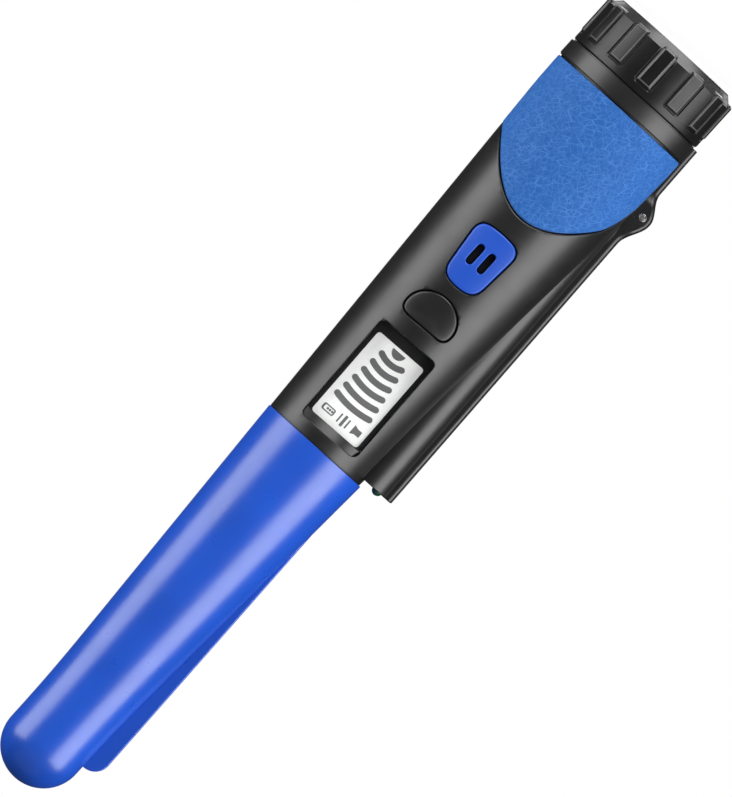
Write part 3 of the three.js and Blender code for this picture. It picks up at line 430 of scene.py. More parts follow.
class Paint:
    """A node material. Its patterns lie in the piece's own space, with sizes in millimetres."""

    def __init__(self, name, colour, roughness, **settings):
        self.material = bpy.data.materials.new(name)
        self.material.use_nodes = True
        self.tree = self.material.node_tree
        self.shader = self.tree.nodes["Principled BSDF"]
        self.colour = colour
        self.set("Base Color", (*colour, 1))
        self.set("Roughness", roughness)
        for socket, value in settings.items():
            self.set(socket.replace("_", " "), value)
        self.place = self.node("ShaderNodeTexCoord").outputs["Object"]

    def set(self, socket, value):
        self.shader.inputs[socket].default_value = value

    def node(self, kind, **inputs):
        made = self.tree.nodes.new(kind)
        for socket, value in inputs.items():
            target = made.inputs[socket.replace("_", " ")]
            if isinstance(value, bpy.types.NodeSocket):
                self.tree.links.new(value, target)
            else:
                target.default_value = value
        return made

    def noise(self, size, detail=3, place=None):
        grain = {"Scale": 1 / (size * MM), "Detail": detail}
        return self.node("ShaderNodeTexNoise", Vector=place or self.place, **grain).outputs["Fac"]

    def cells(self, size, feature="F1"):
        made = self.node("ShaderNodeTexVoronoi", Vector=self.place, Scale=1 / (size * MM))
        made.feature = feature
        return made.outputs["Distance"]

    def ranged(self, value, low, high, start=0.3, end=0.7):
        limits = {"From_Min": start, "From_Max": end, "To_Min": low, "To_Max": high}
        return self.node("ShaderNodeMapRange", Value=value, **limits).outputs["Result"]

    def combined(self, operation, first, second):
        made = self.node("ShaderNodeMath", Value=first)
        made.operation = operation
        self.tree.links.new(second, made.inputs[1])
        return made.outputs["Value"]

    def blend(self, share, first, second):
        made = self.node("ShaderNodeMix")
        made.data_type = "RGBA"
        self.tree.links.new(share, made.inputs[0])
        for socket, value in ((made.inputs[6], first), (made.inputs[7], second)):
            if isinstance(value, bpy.types.NodeSocket):
                self.tree.links.new(value, socket)
            else:
                socket.default_value = (*value, 1)
        return made.outputs[2]

    def shaded(self, factor):
        return tuple(channel * factor for channel in self.colour)

    def link(self, output, socket):
        self.tree.links.new(output, self.shader.inputs[socket])

    def mottle(self, size, low=0.85, high=1.15):
        """Slow colour variation between two shades of the base colour."""
        share = self.ranged(self.noise(size), 0, 1)
        self.link(self.blend(share, self.shaded(low), self.shaded(high)), "Base Color")

    def gloss(self, size, low, high, detail=5, place=None):
        self.link(self.ranged(self.noise(size, detail, place), low, high), "Roughness")

    def bump(self, height, depth, strength=1.0, under=None):
        made = self.node("ShaderNodeBump", Height=height, Strength=strength, Distance=depth * MM)
        if under is not None:
            self.tree.links.new(under, made.inputs["Normal"])
        self.link(made.outputs["Normal"], "Normal")
        return made.outputs["Normal"]


def moulded(name, colour, roughness, grain=0.35, depth=0.006, spread=0.05, **settings):
    """Moulded plastic with a fine spark-eroded grain and slight flow marks."""
    paint = Paint(name, colour, roughness, **settings)
    paint.mottle(14, 0.92, 1.08)
    paint.gloss(5, roughness - spread, roughness + spread)
    paint.bump(paint.noise(grain, detail=2), depth)
    return paint.material


def metal(name, colour, roughness):
    paint = Paint(name, colour, roughness, Metallic=1)
    paint.gloss(0.6, roughness * 0.7, roughness * 1.4, 6)
    paint.bump(paint.noise(0.25, 4), 0.004)
    paint.mottle(3, 0.88, 1.08)
    return paint.material


def cap_plastic():
    """The cap's moulded plastic, with a painted highlight: its colour is lighter along the chamfers of the
    grip bars, where light catches them.
    """
    paint = Paint("cap black", (0.005, 0.005, 0.0053), 0.35, Specular_IOR_Level=0.3)
    painted_highlight = paint.node("ShaderNodeAttribute")
    painted_highlight.attribute_name = "painted_highlight"
    # painted highlight: the chamfer share set in make_cap lightens the base colour, standing in for light the
    # chamfers reflect
    highlight_share = paint.combined("MULTIPLY", paint.ranged(paint.noise(1.6), 0.8, 1.1), painted_highlight.outputs["Fac"])
    paint.link(paint.blend(highlight_share, (0.0042, 0.0042, 0.0044), (0.09, 0.09, 0.093)), "Base Color")
    paint.gloss(5, 0.3, 0.4)
    paint.bump(paint.noise(0.3, detail=2), 0.006)
    return paint.material


def leatherette():
    """Grip pad skin: fine pale creases crossing over a mottled blue ground, laid on the unrolled skin."""
    paint = Paint("grip leatherette", (0.018, 0.088, 0.3), 0.7, Specular_IOR_Level=0.12)
    skin = paint.node("ShaderNodeAttribute")
    skin.attribute_name = "skin"
    creases = None
    for angle, long, wide, weight in ((30, 3.8, 1.3, 1), (-45, 3.2, 1.5, 0.75), (68, 2.3, 1.15, 0.6)):
        turned_skin = paint.node("ShaderNodeMapping", Vector=skin.outputs["Vector"], Scale=(long, wide, 1))
        turned_skin.vector_type = "TEXTURE"
        turned_skin.inputs["Rotation"].default_value = (0, 0, math.radians(angle))
        cells = paint.node("ShaderNodeTexVoronoi", Vector=turned_skin.outputs["Vector"], Scale=1)
        cells.voronoi_dimensions = "2D"
        cells.feature = "DISTANCE_TO_EDGE"
        line = paint.ranged(cells.outputs["Distance"], weight, 0, 0, 0.1)
        fade = paint.ranged(paint.noise(2.4 + angle / 100, 2), 0.1, 1, 0.38, 0.62)
        shown = paint.combined("MULTIPLY", line, fade)
        creases = paint.combined("MAXIMUM", creases, shown) if creases else shown
    mottle = paint.ranged(paint.noise(0.95, 3), 0, 1, 0.32, 0.68)
    ground = paint.blend(mottle, (0.0138, 0.077, 0.275), (0.0205, 0.097, 0.32))
    paint.link(paint.blend(creases, ground, (0.05, 0.154, 0.415)), "Base Color")
    paint.gloss(0.9, 0.62, 0.76, 3)
    pebbles = paint.bump(paint.cells(0.6, "SMOOTH_F1"), 0.02, 0.5)
    paint.bump(creases, 0.02, 0.6, under=pebbles)
    return paint.material


def winding_wire():
    """Enamelled copper wire laid in close turns."""
    paint = Paint("copper winding", (0.55, 0.19, 0.07), 0.3, Metallic=1)
    turns = paint.node("ShaderNodeTexWave", Vector=paint.place, Scale=1 / (2.6 * MM), Distortion=0.4)
    turns.bands_direction = "Z"
    paint.bump(turns.outputs["Fac"], 0.08)
    paint.mottle(2, 0.8, 1.15)
    return paint.material


def solder_mask():
    paint = Paint("board green", (0.015, 0.11, 0.04), 0.35)
    tracks = paint.node("ShaderNodeTexBrick", Vector=paint.place, Scale=1 / (8 * MM))
    shades = {"Color1": (0.015, 0.11, 0.04), "Color2": (0.02, 0.14, 0.05), "Mortar": (0.05, 0.22, 0.09)}
    for socket, colour in shades.items():
        tracks.inputs[socket].default_value = (*colour, 1)
    paint.link(tracks.outputs["Color"], "Base Color")
    paint.bump(paint.noise(0.5), 0.01)
    return paint.material


def foam(name, colour):
    paint = Paint(name, colour, 0.95)
    paint.bump(paint.cells(0.8), 0.2, 0.7)
    paint.mottle(1.2, 0.75, 1.2)
    return paint.material


def clear_window():
    """Thin clear pane with faint handling marks in its gloss."""
    paint = Paint("window clear", (0.002, 0.002, 0.002), 0.05, Alpha=0.08, Specular_IOR_Level=0.25)
    paint.gloss(6, 0.03, 0.09)
    paint.bump(paint.noise(9), 0.004)
    return paint.material


def lamp_lens():
    """Dark green cast resin."""
    paint = Paint("lamp green", (0.004, 0.075, 0.045), 0.08, Transmission_Weight=0.35, IOR=1.5)
    paint.mottle(1.1, 0.7, 1.3)
    paint.bump(paint.noise(0.8), 0.01)
    return paint.material


def screen_face():
    """Reflective display ground with the faint pixel weave of its polariser, and a faint painted glow that
    keeps it evenly bright.
    """
    # painted light: the emission makes the reflective ground glow, though no lamp lights it from behind
    paint = Paint("screen ground", (0.75, 0.76, 0.75), 0.55, Emission_Strength=0.4)
    paint.set("Emission Color", (0.93, 0.94, 0.93, 1))
    weave = paint.ranged(paint.noise(0.22, 1), 0, 1)
    paint.link(paint.blend(weave, paint.shaded(0.97), paint.shaded(1.03)), "Base Color")
    paint.bump(paint.noise(0.3), 0.004)
    return paint.material


def battery_wrap():
    """Printed steel can: dark body with a brushed grain along its length."""
    paint = Paint("battery case", (0.07, 0.08, 0.1), 0.35, Metallic=0.6)
    along = paint.node("ShaderNodeMapping", Vector=paint.place, Scale=(1, 1, 0.1)).outputs["Vector"]
    paint.gloss(0.8, 0.28, 0.45, 4, along)
    paint.bump(paint.noise(0.5, 3, along), 0.01)
    return paint.material


BLACK = (0.0046, 0.0046, 0.0048)
finishes = {
    "sheath_blue": moulded(
        "sheath blue", (0.0078, 0.063, 0.42), 0.3, 0.6, 0.001, spread=0.03, Specular_IOR_Level=0.57
    ),
    "shell_black": moulded("shell black", BLACK, 0.39, grain=0.3, depth=0.01, spread=0.03),
    "cap_black": cap_plastic(),
    "grip_blue": leatherette(),
    "seal_rubber": moulded("seal rubber", (0.006, 0.006, 0.006), 0.7, grain=0.25, depth=0.02),
    "foam": foam("foam", (0.09, 0.095, 0.1)),
    "steel": metal("steel", (0.5, 0.5, 0.5), 0.32),
    "brass": metal("brass", (0.6, 0.42, 0.14), 0.3),
    "copper_winding": winding_wire(),
    "ferrite": moulded("ferrite", (0.035, 0.035, 0.038), 0.65, grain=0.5, depth=0.05),
    "white_plastic": moulded("white plastic", (0.75, 0.74, 0.7), 0.5),
    "board_green": solder_mask(),
    "component_black": moulded("component black", (0.012, 0.012, 0.013), 0.5, grain=0.2, depth=0.02),
    "screen_grey": screen_face(),
    "window_clear": clear_window(),
    "lamp_clear": lamp_lens(),
    "battery_case": battery_wrap(),
    "lead_black": moulded("lead black", (0.012, 0.012, 0.012), 0.5, grain=0.4),
    "lead_red": moulded("lead red", (0.4, 0.015, 0.015), 0.45, grain=0.4),
}
key_blue = moulded("key blue", (0.0098, 0.061, 0.385), 0.42, grain=0.35, depth=0.008, Specular_IOR_Level=0.35)
dark_steel = metal("blackened steel", (0.07, 0.07, 0.072), 0.4)
segment_ink = moulded("segment ink", (0.16, 0.16, 0.165), 0.6, grain=0.2, depth=0.002)

for part in frame["record"]["subparts"]:
    node = nodes[part["node"]]
    node.data.materials.clear()
    node.data.materials.append(finishes[part["material_slot"]])

# ---- coil sheath


def make_sheath():
    tip_r = float(sheath_radius(TIP_Z))
    centre_z = TIP_Z - tip_r

    def dome(radius, steps):
        angles = [i / steps * math.pi / 2 for i in range(steps + 1)]
        return [(max(0, radius * math.cos(a)), centre_z + radius * math.sin(a)) for a in angles]

    rim = [(SHEATH_RIM_R - 0.2, SHEATH_RIM_Z), (SHEATH_RIM_R - 0.06, SHEATH_RIM_Z + 0.05)]
    side = [(float(sheath_radius(z)), z) for z in np.linspace(SHEATH_RIM_Z + 0.2, centre_z - 0.3, 60)]
    bore_side = [(float(sheath_radius(z)) - SHEATH_WALL, z) for z in (centre_z - 4, 203, 170, 136)]
    spigot = [(SPIGOT_R - 0.3, SPIGOT_END_Z), (SPIGOT_R, SPIGOT_END_Z + 0.3), (SPIGOT_R, SEAL_GROOVE_REAR_Z)]
    spigot += [(SEAL_GROOVE_R, SEAL_GROOVE_REAR_Z), (SEAL_GROOVE_R, SEAL_GROOVE_FRONT_Z)]
    spigot += [(SPIGOT_R, SEAL_GROOVE_FRONT_Z), (SPIGOT_R, SHEATH_RIM_Z)]
    bore = [*bore_side, (SPIGOT_BORE_R, SHEATH_RIM_Z), (SPIGOT_BORE_R, SPIGOT_END_Z)]
    profile = [*spigot, *rim, *side, *dome(tip_r, 28), *reversed(dome(tip_r - SHEATH_WALL, 10)), *bore]
    made = turned("sheath_body", profile, 192, hollow=True)
    relief = plate("relief", box_outline(-14, 14, SPIGOT_END_Z - 1, 128.6, 0.3), -14, -6.5, 0.1)
    cut(made, relief)
    corner = np.array([-FIN_FRONT[0] + FIN_CORNER_R, FIN_FRONT[1] - FIN_CORNER_R])
    outline = [(-FIN_ROOT, FIN_REAR[1] - 4), (-FIN_ROOT, FIN_FRONT[1])]
    for step in range(15):
        turn = math.pi / 2 + step / 14 * math.pi / 2
        outline.append(corner + FIN_CORNER_R * np.array([math.cos(turn), math.sin(turn)]))
    outline.append((-FIN_REAR[0], FIN_REAR[1]))
    outline.append((-FIN_REAR[0] + 0.35, FIN_REAR[1] - 4))
    fin = plate("fin", spaced(np.array(outline, float), 1.2), -FIN_HALF_THICKNESS, FIN_HALF_THICKNESS, 0.4)
    join(made, fin)
    finish_piece(made, "sheath_blue", "probe_sheath", weighted=True)


# ---- handle shells

BARREL_POINTS = 24
FILLET_POINTS = 3
CREASE_R = 0.08
HANDLE_POINTS = 120
CAVITY_POINTS = 72
POLAR_Z = 46


def arc(radius, turns, x=0, y=0):
    """Points round (x, y), starting on the keel's side."""
    return np.stack([x - radius * np.cos(turns), y - radius * np.sin(turns)], 1)


def flank(z, radius, half_thickness):
    """Half of the handle's outline, from the keel to +X: lamp barrel, crease and round handle."""
    centre, barrel_r = barrel_at(z)
    fx = -((radius + CREASE_R) ** 2 + centre**2 - (barrel_r + CREASE_R) ** 2) / (2 * centre)
    fy = -math.sqrt((radius + CREASE_R) ** 2 - fx**2)
    start = math.asin(half_thickness / barrel_r)
    end = math.atan2(-fy, -(fx + centre))
    barrel = arc(barrel_r, np.linspace(start, end, BARREL_POINTS), -centre)
    towards_barrel = math.atan2(-fy, -centre - fx)
    towards_axis = math.atan2(-fy, -fx)
    turns = np.linspace(towards_barrel, towards_axis, FILLET_POINTS + 2)[1:-1]
    handle = arc(radius, np.linspace(towards_axis, math.pi - AXIS_GAP / radius, HANDLE_POINTS))
    return np.concatenate([barrel, arc(-CREASE_R, turns, fx, fy), handle])


POLAR_SHARES = flank(POLAR_Z, float(handle_radius(POLAR_Z)), KEEL_HALF_THICKNESS)
POLAR_SHARES = np.arctan2(-POLAR_SHARES[:, 1], -POLAR_SHARES[:, 0])
POLAR_SHARES = (POLAR_SHARES - POLAR_SHARES[0]) / (POLAR_SHARES[-1] - POLAR_SHARES[0])


def smooth_max(a, b, soft):
    return np.maximum(a, b) + np.maximum(soft - np.abs(a - b), 0) ** 2 / (4 * soft)


def rear_flank(z, radius, half_thickness):
    """The same outline further back, where the barrel has nearly sunk into the handle."""
    centre, barrel_r = barrel_at(z)
    first = math.asin(half_thickness / radius)
    last = math.pi - AXIS_GAP / radius
    angles = first + POLAR_SHARES * (last - first)
    inside = np.maximum(barrel_r**2 - (centre * np.sin(angles)) ** 2, 0)
    barrel = centre * np.cos(angles) + np.sqrt(inside)
    return arc(smooth_max(np.full(len(angles), radius), barrel, 0.12), angles)


def shell_section(z, radius, cavity_r, rib_step, inset, collapsed=False):
    """One closed section of a half shell. Inset shrinks the keel and barrel, for rounded ends."""
    wide = min(1, boss_height(z) / 1.4)
    half_thickness = KEEL_HALF_THICKNESS + (BOSS_HALF_THICKNESS - KEEL_HALF_THICKNESS) * wide
    half_thickness -= inset * 0.8
    side = (flank if z > POLAR_Z else rear_flank)(z, radius, half_thickness)
    reach = keel_reach(z) - rib_step - inset
    bevel, bevel_depth = RIB_BEVEL
    edge = [
        (-reach + 0.24, -AXIS_GAP),
        (-reach, -AXIS_GAP - 0.14),
        (-reach, -half_thickness / 2),
        (-reach, -half_thickness + bevel_depth),
        (-reach + bevel / 2, -half_thickness + bevel_depth / 2),
        (-reach + bevel, -half_thickness),
    ]
    root = -side[0][0]
    for step in (0.3, 0.6, 0.85, 0.96):
        edge.append((-(reach - bevel + (root - reach + bevel) * step), -half_thickness))
    outer = np.concatenate([edge, side])
    lengths = np.linalg.norm(outer, axis=1)
    if inset:
        shrunk = np.maximum(lengths - inset, radius)
        outer *= np.where(lengths > radius + 1e-6, shrunk / lengths, 1)[:, None]
    if collapsed:
        outer *= np.where(lengths > radius, radius / lengths, 1)[:, None]
    turns = np.linspace(math.pi - AXIS_GAP / cavity_r, AXIS_GAP / cavity_r, CAVITY_POINTS)
    section = np.concatenate([outer, arc(cavity_r, turns)])
    return np.column_stack([section, np.full(len(section), z)])


def shell_stations():
    """Stations along the half shells as (z, outer radius, cavity radius, inset), after the cap's land."""
    neck, groove, collar = NECK_BORE_R, NECK_GROOVE_R, COLLAR_R
    edge = ((0, 0.1), (0.03, 0.03), (0.1, 0))
    rows = [(SHELL_REAR_Z + rise, collar - inset, neck, inset) for rise, inset in edge]
    rows += [(17.2, collar, neck, 0), (17.2, collar, groove, 0), (19.55, collar, groove, 0)]
    lip = ((19.6, 0.01), (19.78, 0.06), (19.9, 0.18), (19.95, 0.35))
    rows += [(z, collar - drop, neck, 0) for z, drop in lip]
    rows += [(20, 19.45, neck, 0), (20.38, 19.45, neck, 0)]
    stations = [*np.arange(20.4, 50, 0.6), *np.arange(50, 128.4, 1.4), 128.5, 128.8]
    for z in stations:
        blend = min(1, max(0, (z - 26) / (FLARE_Z - 26)))
        radius = float(handle_radius(z))
        rows.append((z, radius, neck + (radius - SHELL_WALL - neck) * blend, 0))
    for z, inset in ((128.92, 0.05), (129.04, 0.16), (KEEL_FRONT_Z, 0.3)):
        rows.append((z, float(handle_radius(z)), float(handle_radius(z)) - SHELL_WALL, inset))
    return rows


def half_shell(name, rib_step):
    land = (CAP_LAND_R, NECK_BORE_R, rib_step, 0)
    rings = [shell_section(z, *land, collapsed=True) for z in (CAP_LAND_Z, SHELL_REAR_Z)]
    rings += [shell_section(z, r, c, rib_step, inset) for z, r, c, inset in shell_stations()]
    for z, drop in ((KEEL_FRONT_Z, 0), (130.2, 0), (130.85, 0), (130.95, 0.06), (SHELL_FRONT_Z, 0.16)):
        radius = float(handle_radius(z))
        ring = shell_section(KEEL_FRONT_Z, radius, radius - SHELL_WALL, rib_step, 0.3, collapsed=True)
        ring[:, 2] = z
        outer = np.linalg.norm(ring[:, :2], axis=1) > radius - 0.5
        ring[outer, :2] *= (radius - drop) / radius
        rings.append(ring)
    return loft(name, rings)


def keel_bores():
    """The lanyard slot, the pin's bore and the lamp's bore."""
    slot = plate("slot", box_outline(-26, -18.7, 30.2, 43.4, 0.8), -0.95, 0.95, 0.05)
    pin_bore = laid_along_y(turned("bore", [(0, -4), (1.05, -4), (1.05, 4), (0, 4)], 32), PIN_X, 0, PIN_Z)
    lamp_bore = turned("bore", [(0, 120), (2, 120), (2, 128.9), (2.25, 129.3), (2.25, 131), (0, 131)], 48)
    return slot, pin_bore, moved(lamp_bore, LAMP_X, 0, 0)


def pad_point(u, v, grow):
    """Angle from -Y and height of a pad point. u runs from keel to +X, and v from the rear to the nose."""
    z = 40.0
    for _ in range(14):
        radius = float(handle_radius(z))
        low = -(math.pi / 2 - math.asin((PAD_KEEL_Y - grow) / radius))
        high = math.pi / 2 - math.asin((PAD_FAR_Y - grow) / radius)
        angle = low + (high - low) * u
        x = radius * math.sin(angle)
        front = PAD_NOSE_Z + 1.4 * grow - PAD_SWEEP * (x / PAD_SWEEP_HALF_WIDTH) ** 2
        corner = max(0, 1 - (angle - low) / math.radians(24))
        front -= PAD_KEEL_CORNER * corner**2
        inset = min(PAD_REAR_CORNER, (angle - low) * radius)
        rear = PAD_REAR_Z - grow + PAD_REAR_CORNER - math.sqrt(inset * (2 * PAD_REAR_CORNER - inset))
        z = rear + (front - rear) * v
    return angle, z


def pad_place(u, v, grow, depth, relief=None):
    angle, z = pad_point(u, v, grow)
    radius = float(handle_radius(z)) - (depth + (relief(angle, z) if relief else 0))
    return radius * math.sin(angle), -radius * math.cos(angle), z


def pad_solid(name, levels, columns, rows, relief=None):
    """A curved slab. Levels are (grow, depth) from its underside's edge to its outer face's edge."""
    width, size = columns + 1, (columns + 1) * (rows + 1)
    grid = [(j, i) for i in range(rows + 1) for j in range(width)]
    rim = [(j, 0) for j in range(columns)] + [(columns, i) for i in range(rows)]
    rim += [(j, rows) for j in range(columns, 0, -1)] + [(0, i) for i in range(rows, 0, -1)]
    points = [pad_place(j / columns, i / rows, *levels[0]) for j, i in grid]
    points += [pad_place(j / columns, i / rows, *levels[-1], relief) for j, i in grid]
    for level in levels[1:-1]:
        points += [pad_place(j / columns, i / rows, *level) for j, i in rim]
    corners = [i * width + j for i in range(rows) for j in range(columns)]
    corners += [size + corner for corner in corners]
    faces = [(a, a + 1, a + width + 1, a + width) for a in corners]
    loops = [[i * width + j for j, i in rim]]
    loops += [[2 * size + k * len(rim) + n for n in range(len(rim))] for k in range(len(levels) - 2)]
    loops.append([size + i * width + j for j, i in rim])
    for low, high in zip(loops, loops[1:]):
        faces += [(low[n - 1], low[n], high[n], high[n - 1]) for n in range(1, len(rim))]
        faces.append((low[-1], low[0], high[0], high[-1]))
    return add_object(name, points, faces)


def pad_recess():
    levels = [(0.3, 1.3), (0.3, 0.35), (0.34, 0.12), (0.46, 0.02), (0.75, -0.15), (0.9, -1.4)]
    return pad_solid("recess", levels, 64, 24)


def handle_core(inset):
    stations = np.linspace(PAD_REAR_Z, SHELL_FRONT_Z - 0.5, 24)
    side = [(float(handle_radius(z)) - inset, z) for z in stations]
    return turned("core", [(0, PAD_REAR_Z), *side, (0, SHELL_FRONT_Z - 0.5)], 96)


def post(radius, y0, y1, x, z, inset):
    """A round post along Y, trimmed to stay inside the handle's surface."""
    made = turned("post", [(0, -y1), (radius, -y1), (radius, -y0), (0, -y0)], 40)
    return combine(laid_along_y(made, x, 0, z), handle_core(inset), "INTERSECT")


def make_front_shell():
    made = half_shell("front_casing", FRONT_RIB_STEP)
    well = plate("well", display_outline(1.3), -15, -9.6, 0.1)
    join(made, combine(well, handle_core(0.6), "INTERSECT"))
    join(made, *(post(2.1, -15.5, -0.4, x, z, 1) for x, z, _ in SCREWS))
    outline = display_outline()
    levels = [(0.5, -0.35), (0.27, -0.02), (0.12, 0.06), (0.03, 0.2), (0, 0.36)]
    rings = [at_y(offset(outline, 0.5), OUTSIDE_Y), *laid_rings(outline, levels)]
    foot = outline.copy()
    foot[:, 1] -= 2.1 * np.clip((foot[:, 1] - DISPLAY_FRONT_Z + 3) / 3, 0, 1)
    ramp_foot = on_surface(foot, 0)
    ramp_foot[:, 1] += 0.53 * (WINDOW_Y - ramp_foot[:, 1])
    rings += [ramp_foot, at_y(foot, WINDOW_Y)]
    opening = loft("opening", rings)
    seat = plate("seat", display_outline(), WINDOW_Y - 0.05, -9, 0.02)
    cut(made, opening, seat)
    for key_outline in (trapezoid_outline(), half_round_outline()):
        cut(made, key_opening(offset(key_outline, KEY_GAP)))
    cut(made, pad_recess(), *keel_bores())
    finish_piece(made, "shell_black", "front_shell", weighted=True)


def make_rear_shell():
    made = mirror_y(half_shell("rear_casing", 0))
    cut(made, mirror_y(pad_recess()), *keel_bores())
    join(made, *(post(3.4, seat_y - 1.6, 18, x, z, 0.5) for x, z, seat_y in SCREWS))
    join(made, *(post(2.2, 0.4, 14, x, z, 1) for x, z, _ in SCREWS))
    for x, z, seat_y in SCREWS:
        bore = [(0, -20), (2.7, -20), (2.7, -seat_y), (1.4, -seat_y), (1.4, 1), (0, 1)]
        cut(made, laid_along_y(turned("bore", bore, 48), x, 0, z))
    finish_piece(made, "shell_black", "rear_shell", weighted=True)


# ---- grip pads


def make_pad(name, node, rear):
    """A grip pad with a slightly uneven skin, whose points carry their unrolled place in millimetres."""
    side = 1 if rear else -1

    def relief(angle, z):
        return -0.03 * noise.noise(Vector((20 * angle, 7 * side, z)) * 0.9)

    levels = [(0, 1), (0, 0.42), (-0.04, 0.2), (-0.14, 0.02), (-0.3, -0.07), (-0.5, -0.1)]
    made = pad_solid(name, levels, 120, 80, relief)
    attribute = made.data.attributes.new("skin", "FLOAT_VECTOR", "POINT")
    for vertex, value in zip(made.data.vertices, attribute.data):
        x, y, z = vertex.co / MM
        value.vector = (20 * math.atan2(x, -y) + 100 * side, z, 0)
    if rear:
        mirror_y(made)
    finish_piece(made, "grip_blue", node, sharp_angle=50)


# ---- keys


def key_cap(name, outline, dish):
    """A key cap whose face follows the handle, with rounded edges and an optional dish."""
    levels = [(0, 0.32), (-0.05, 0.12), (-0.16, 0), (-0.3, -KEY_PROUD * 0.85)]
    rings = [at_y(outline, KEY_BACK_Y), *laid_rings(outline, levels)]
    rim = offset(outline, -0.42)
    centre = rim.mean(axis=0)
    for step in range(25):
        share = math.cos(step / 24 * math.pi / 2)
        sunk = dish * (1 - share**2) ** 1.5 - KEY_PROUD
        rings.append(on_surface(centre + (rim - centre) * share, sunk))
    return loft(name, rings)


def add_root(made, flange_outline, stem_z):
    """Joins to a key the flange that keeps it in its opening and the stem that presses its plunger."""
    flange = plate("flange", flange_outline, -14, -12.6, 0.1)
    flange = combine(flange, handle_core(SHELL_WALL + 0.3), "INTERSECT")
    stem = turned("stem", [(0, 11.45), (2, 11.45), (2, 14.2), (0, 14.2)], 32)
    join(made, flange, laid_along_y(stem, 0, 0, stem_z))


def slot_outline(side):
    """A slot with round ends, on the keel's side of the key's middle for -1 and on the other for 1."""
    half_width, half_length = 0.98, 2.98
    turns = np.linspace(0, math.pi, 17)
    round_end = np.stack([np.cos(turns), np.sin(turns)], 1) * half_width
    shift = np.array([0, half_length - half_width])
    middle = np.array([POWER_KEY_X + side * SLOT_X, POWER_KEY_Z - 0.45])
    return spaced(np.concatenate([round_end + shift, -round_end - shift]) + middle)


def make_power_key():
    made = key_cap("power_key_cap", trapezoid_outline(), dish=0)
    add_root(made, trapezoid_outline(1.1), POWER_KEY_Z)
    cut(made, plate("pocket", box_outline(-3.6, 3.6, 66.2, 74.3, 1), -16.4, -15.2, 0.05))
    for side in (-1, 1):
        levels = [(0.6, -0.5), (0.3, -KEY_PROUD - 0.02), (0.12, 0.0), (0, 0.25)]
        slot = slot_outline(side)
        cut(made, loft("slot", [*laid_rings(slot, levels), at_y(slot, -16)]))
    finish_piece(made, "sheath_blue", "power_key", body="power_key", material=key_blue, weighted=True)


def make_power_key_core():
    made = plate("power_key_core", box_outline(-3.4, 3.4, 66.4, 74.1, 0.9), -16.3, -15.3, 0.08)
    join(made, *(plate("ridge", offset(slot_outline(side), -0.14), -16.7, -16, 0.15) for side in (-1, 1)))
    dark = moulded("key core black", (0.002, 0.002, 0.0022), 0.75, 0.3, 0.01, Specular_IOR_Level=0.15)
    finish_piece(made, "seal_rubber", "power_key_inlay", body="power_key", material=dark)


def make_mode_key():
    made = key_cap("mode_key_cap", half_round_outline(), dish=0.4)
    add_root(made, offset(half_round_outline(), 1.1), MODE_STEM_Z)
    finish_piece(made, "shell_black", "mode_key", body="mode_key", weighted=True)


# ---- display


def make_window():
    made = plate("display_pane", display_outline(-0.15), WINDOW_Y, WINDOW_BACK_Y, 0.08)
    finish_piece(made, "window_clear", "display_window")


def make_bezel():
    made = plate("bezel_frame", display_box(8.45, 96.75, 126.95, 0.8), -10.95, -10.57, 0.05)
    cut(made, plate("opening", display_box(7.3, 99.6, 124.9, 1), -12, -10, 0.02))
    ink = moulded("bezel ink", (0.0015, 0.0015, 0.0015), 0.6, grain=0.3, depth=0.002)
    finish_piece(made, "shell_black", "screen_bezel", material=ink)


def make_screen():
    made = plate("screen_glass", display_box(8, 97.2, 126.2, 0.6), PANEL_Y, -8.9, 0.05)
    finish_piece(made, "screen_grey", "screen_panel")


def arc_outline(middle_z, half_height, thickness, bend):
    """A curved bar across the screen, bowed towards the tip, with rounded ends."""
    radius = (half_height**2 + bend**2) / (2 * bend)
    reach = math.asin(half_height / radius)
    centre_z = middle_z - radius
    half = thickness / 2
    polar = []
    for sign in (1, -1):
        polar += [(radius + sign * half, sign * angle) for angle in np.linspace(-reach, reach, 25)]
        for turn in np.linspace(0, math.pi, 9)[1:-1]:
            end_angle = reach + half * math.sin(turn) / radius
            polar.append((radius + sign * half * math.cos(turn), sign * end_angle))
    return np.array([(r * math.sin(angle), centre_z + r * math.cos(angle)) for r, angle in polar])


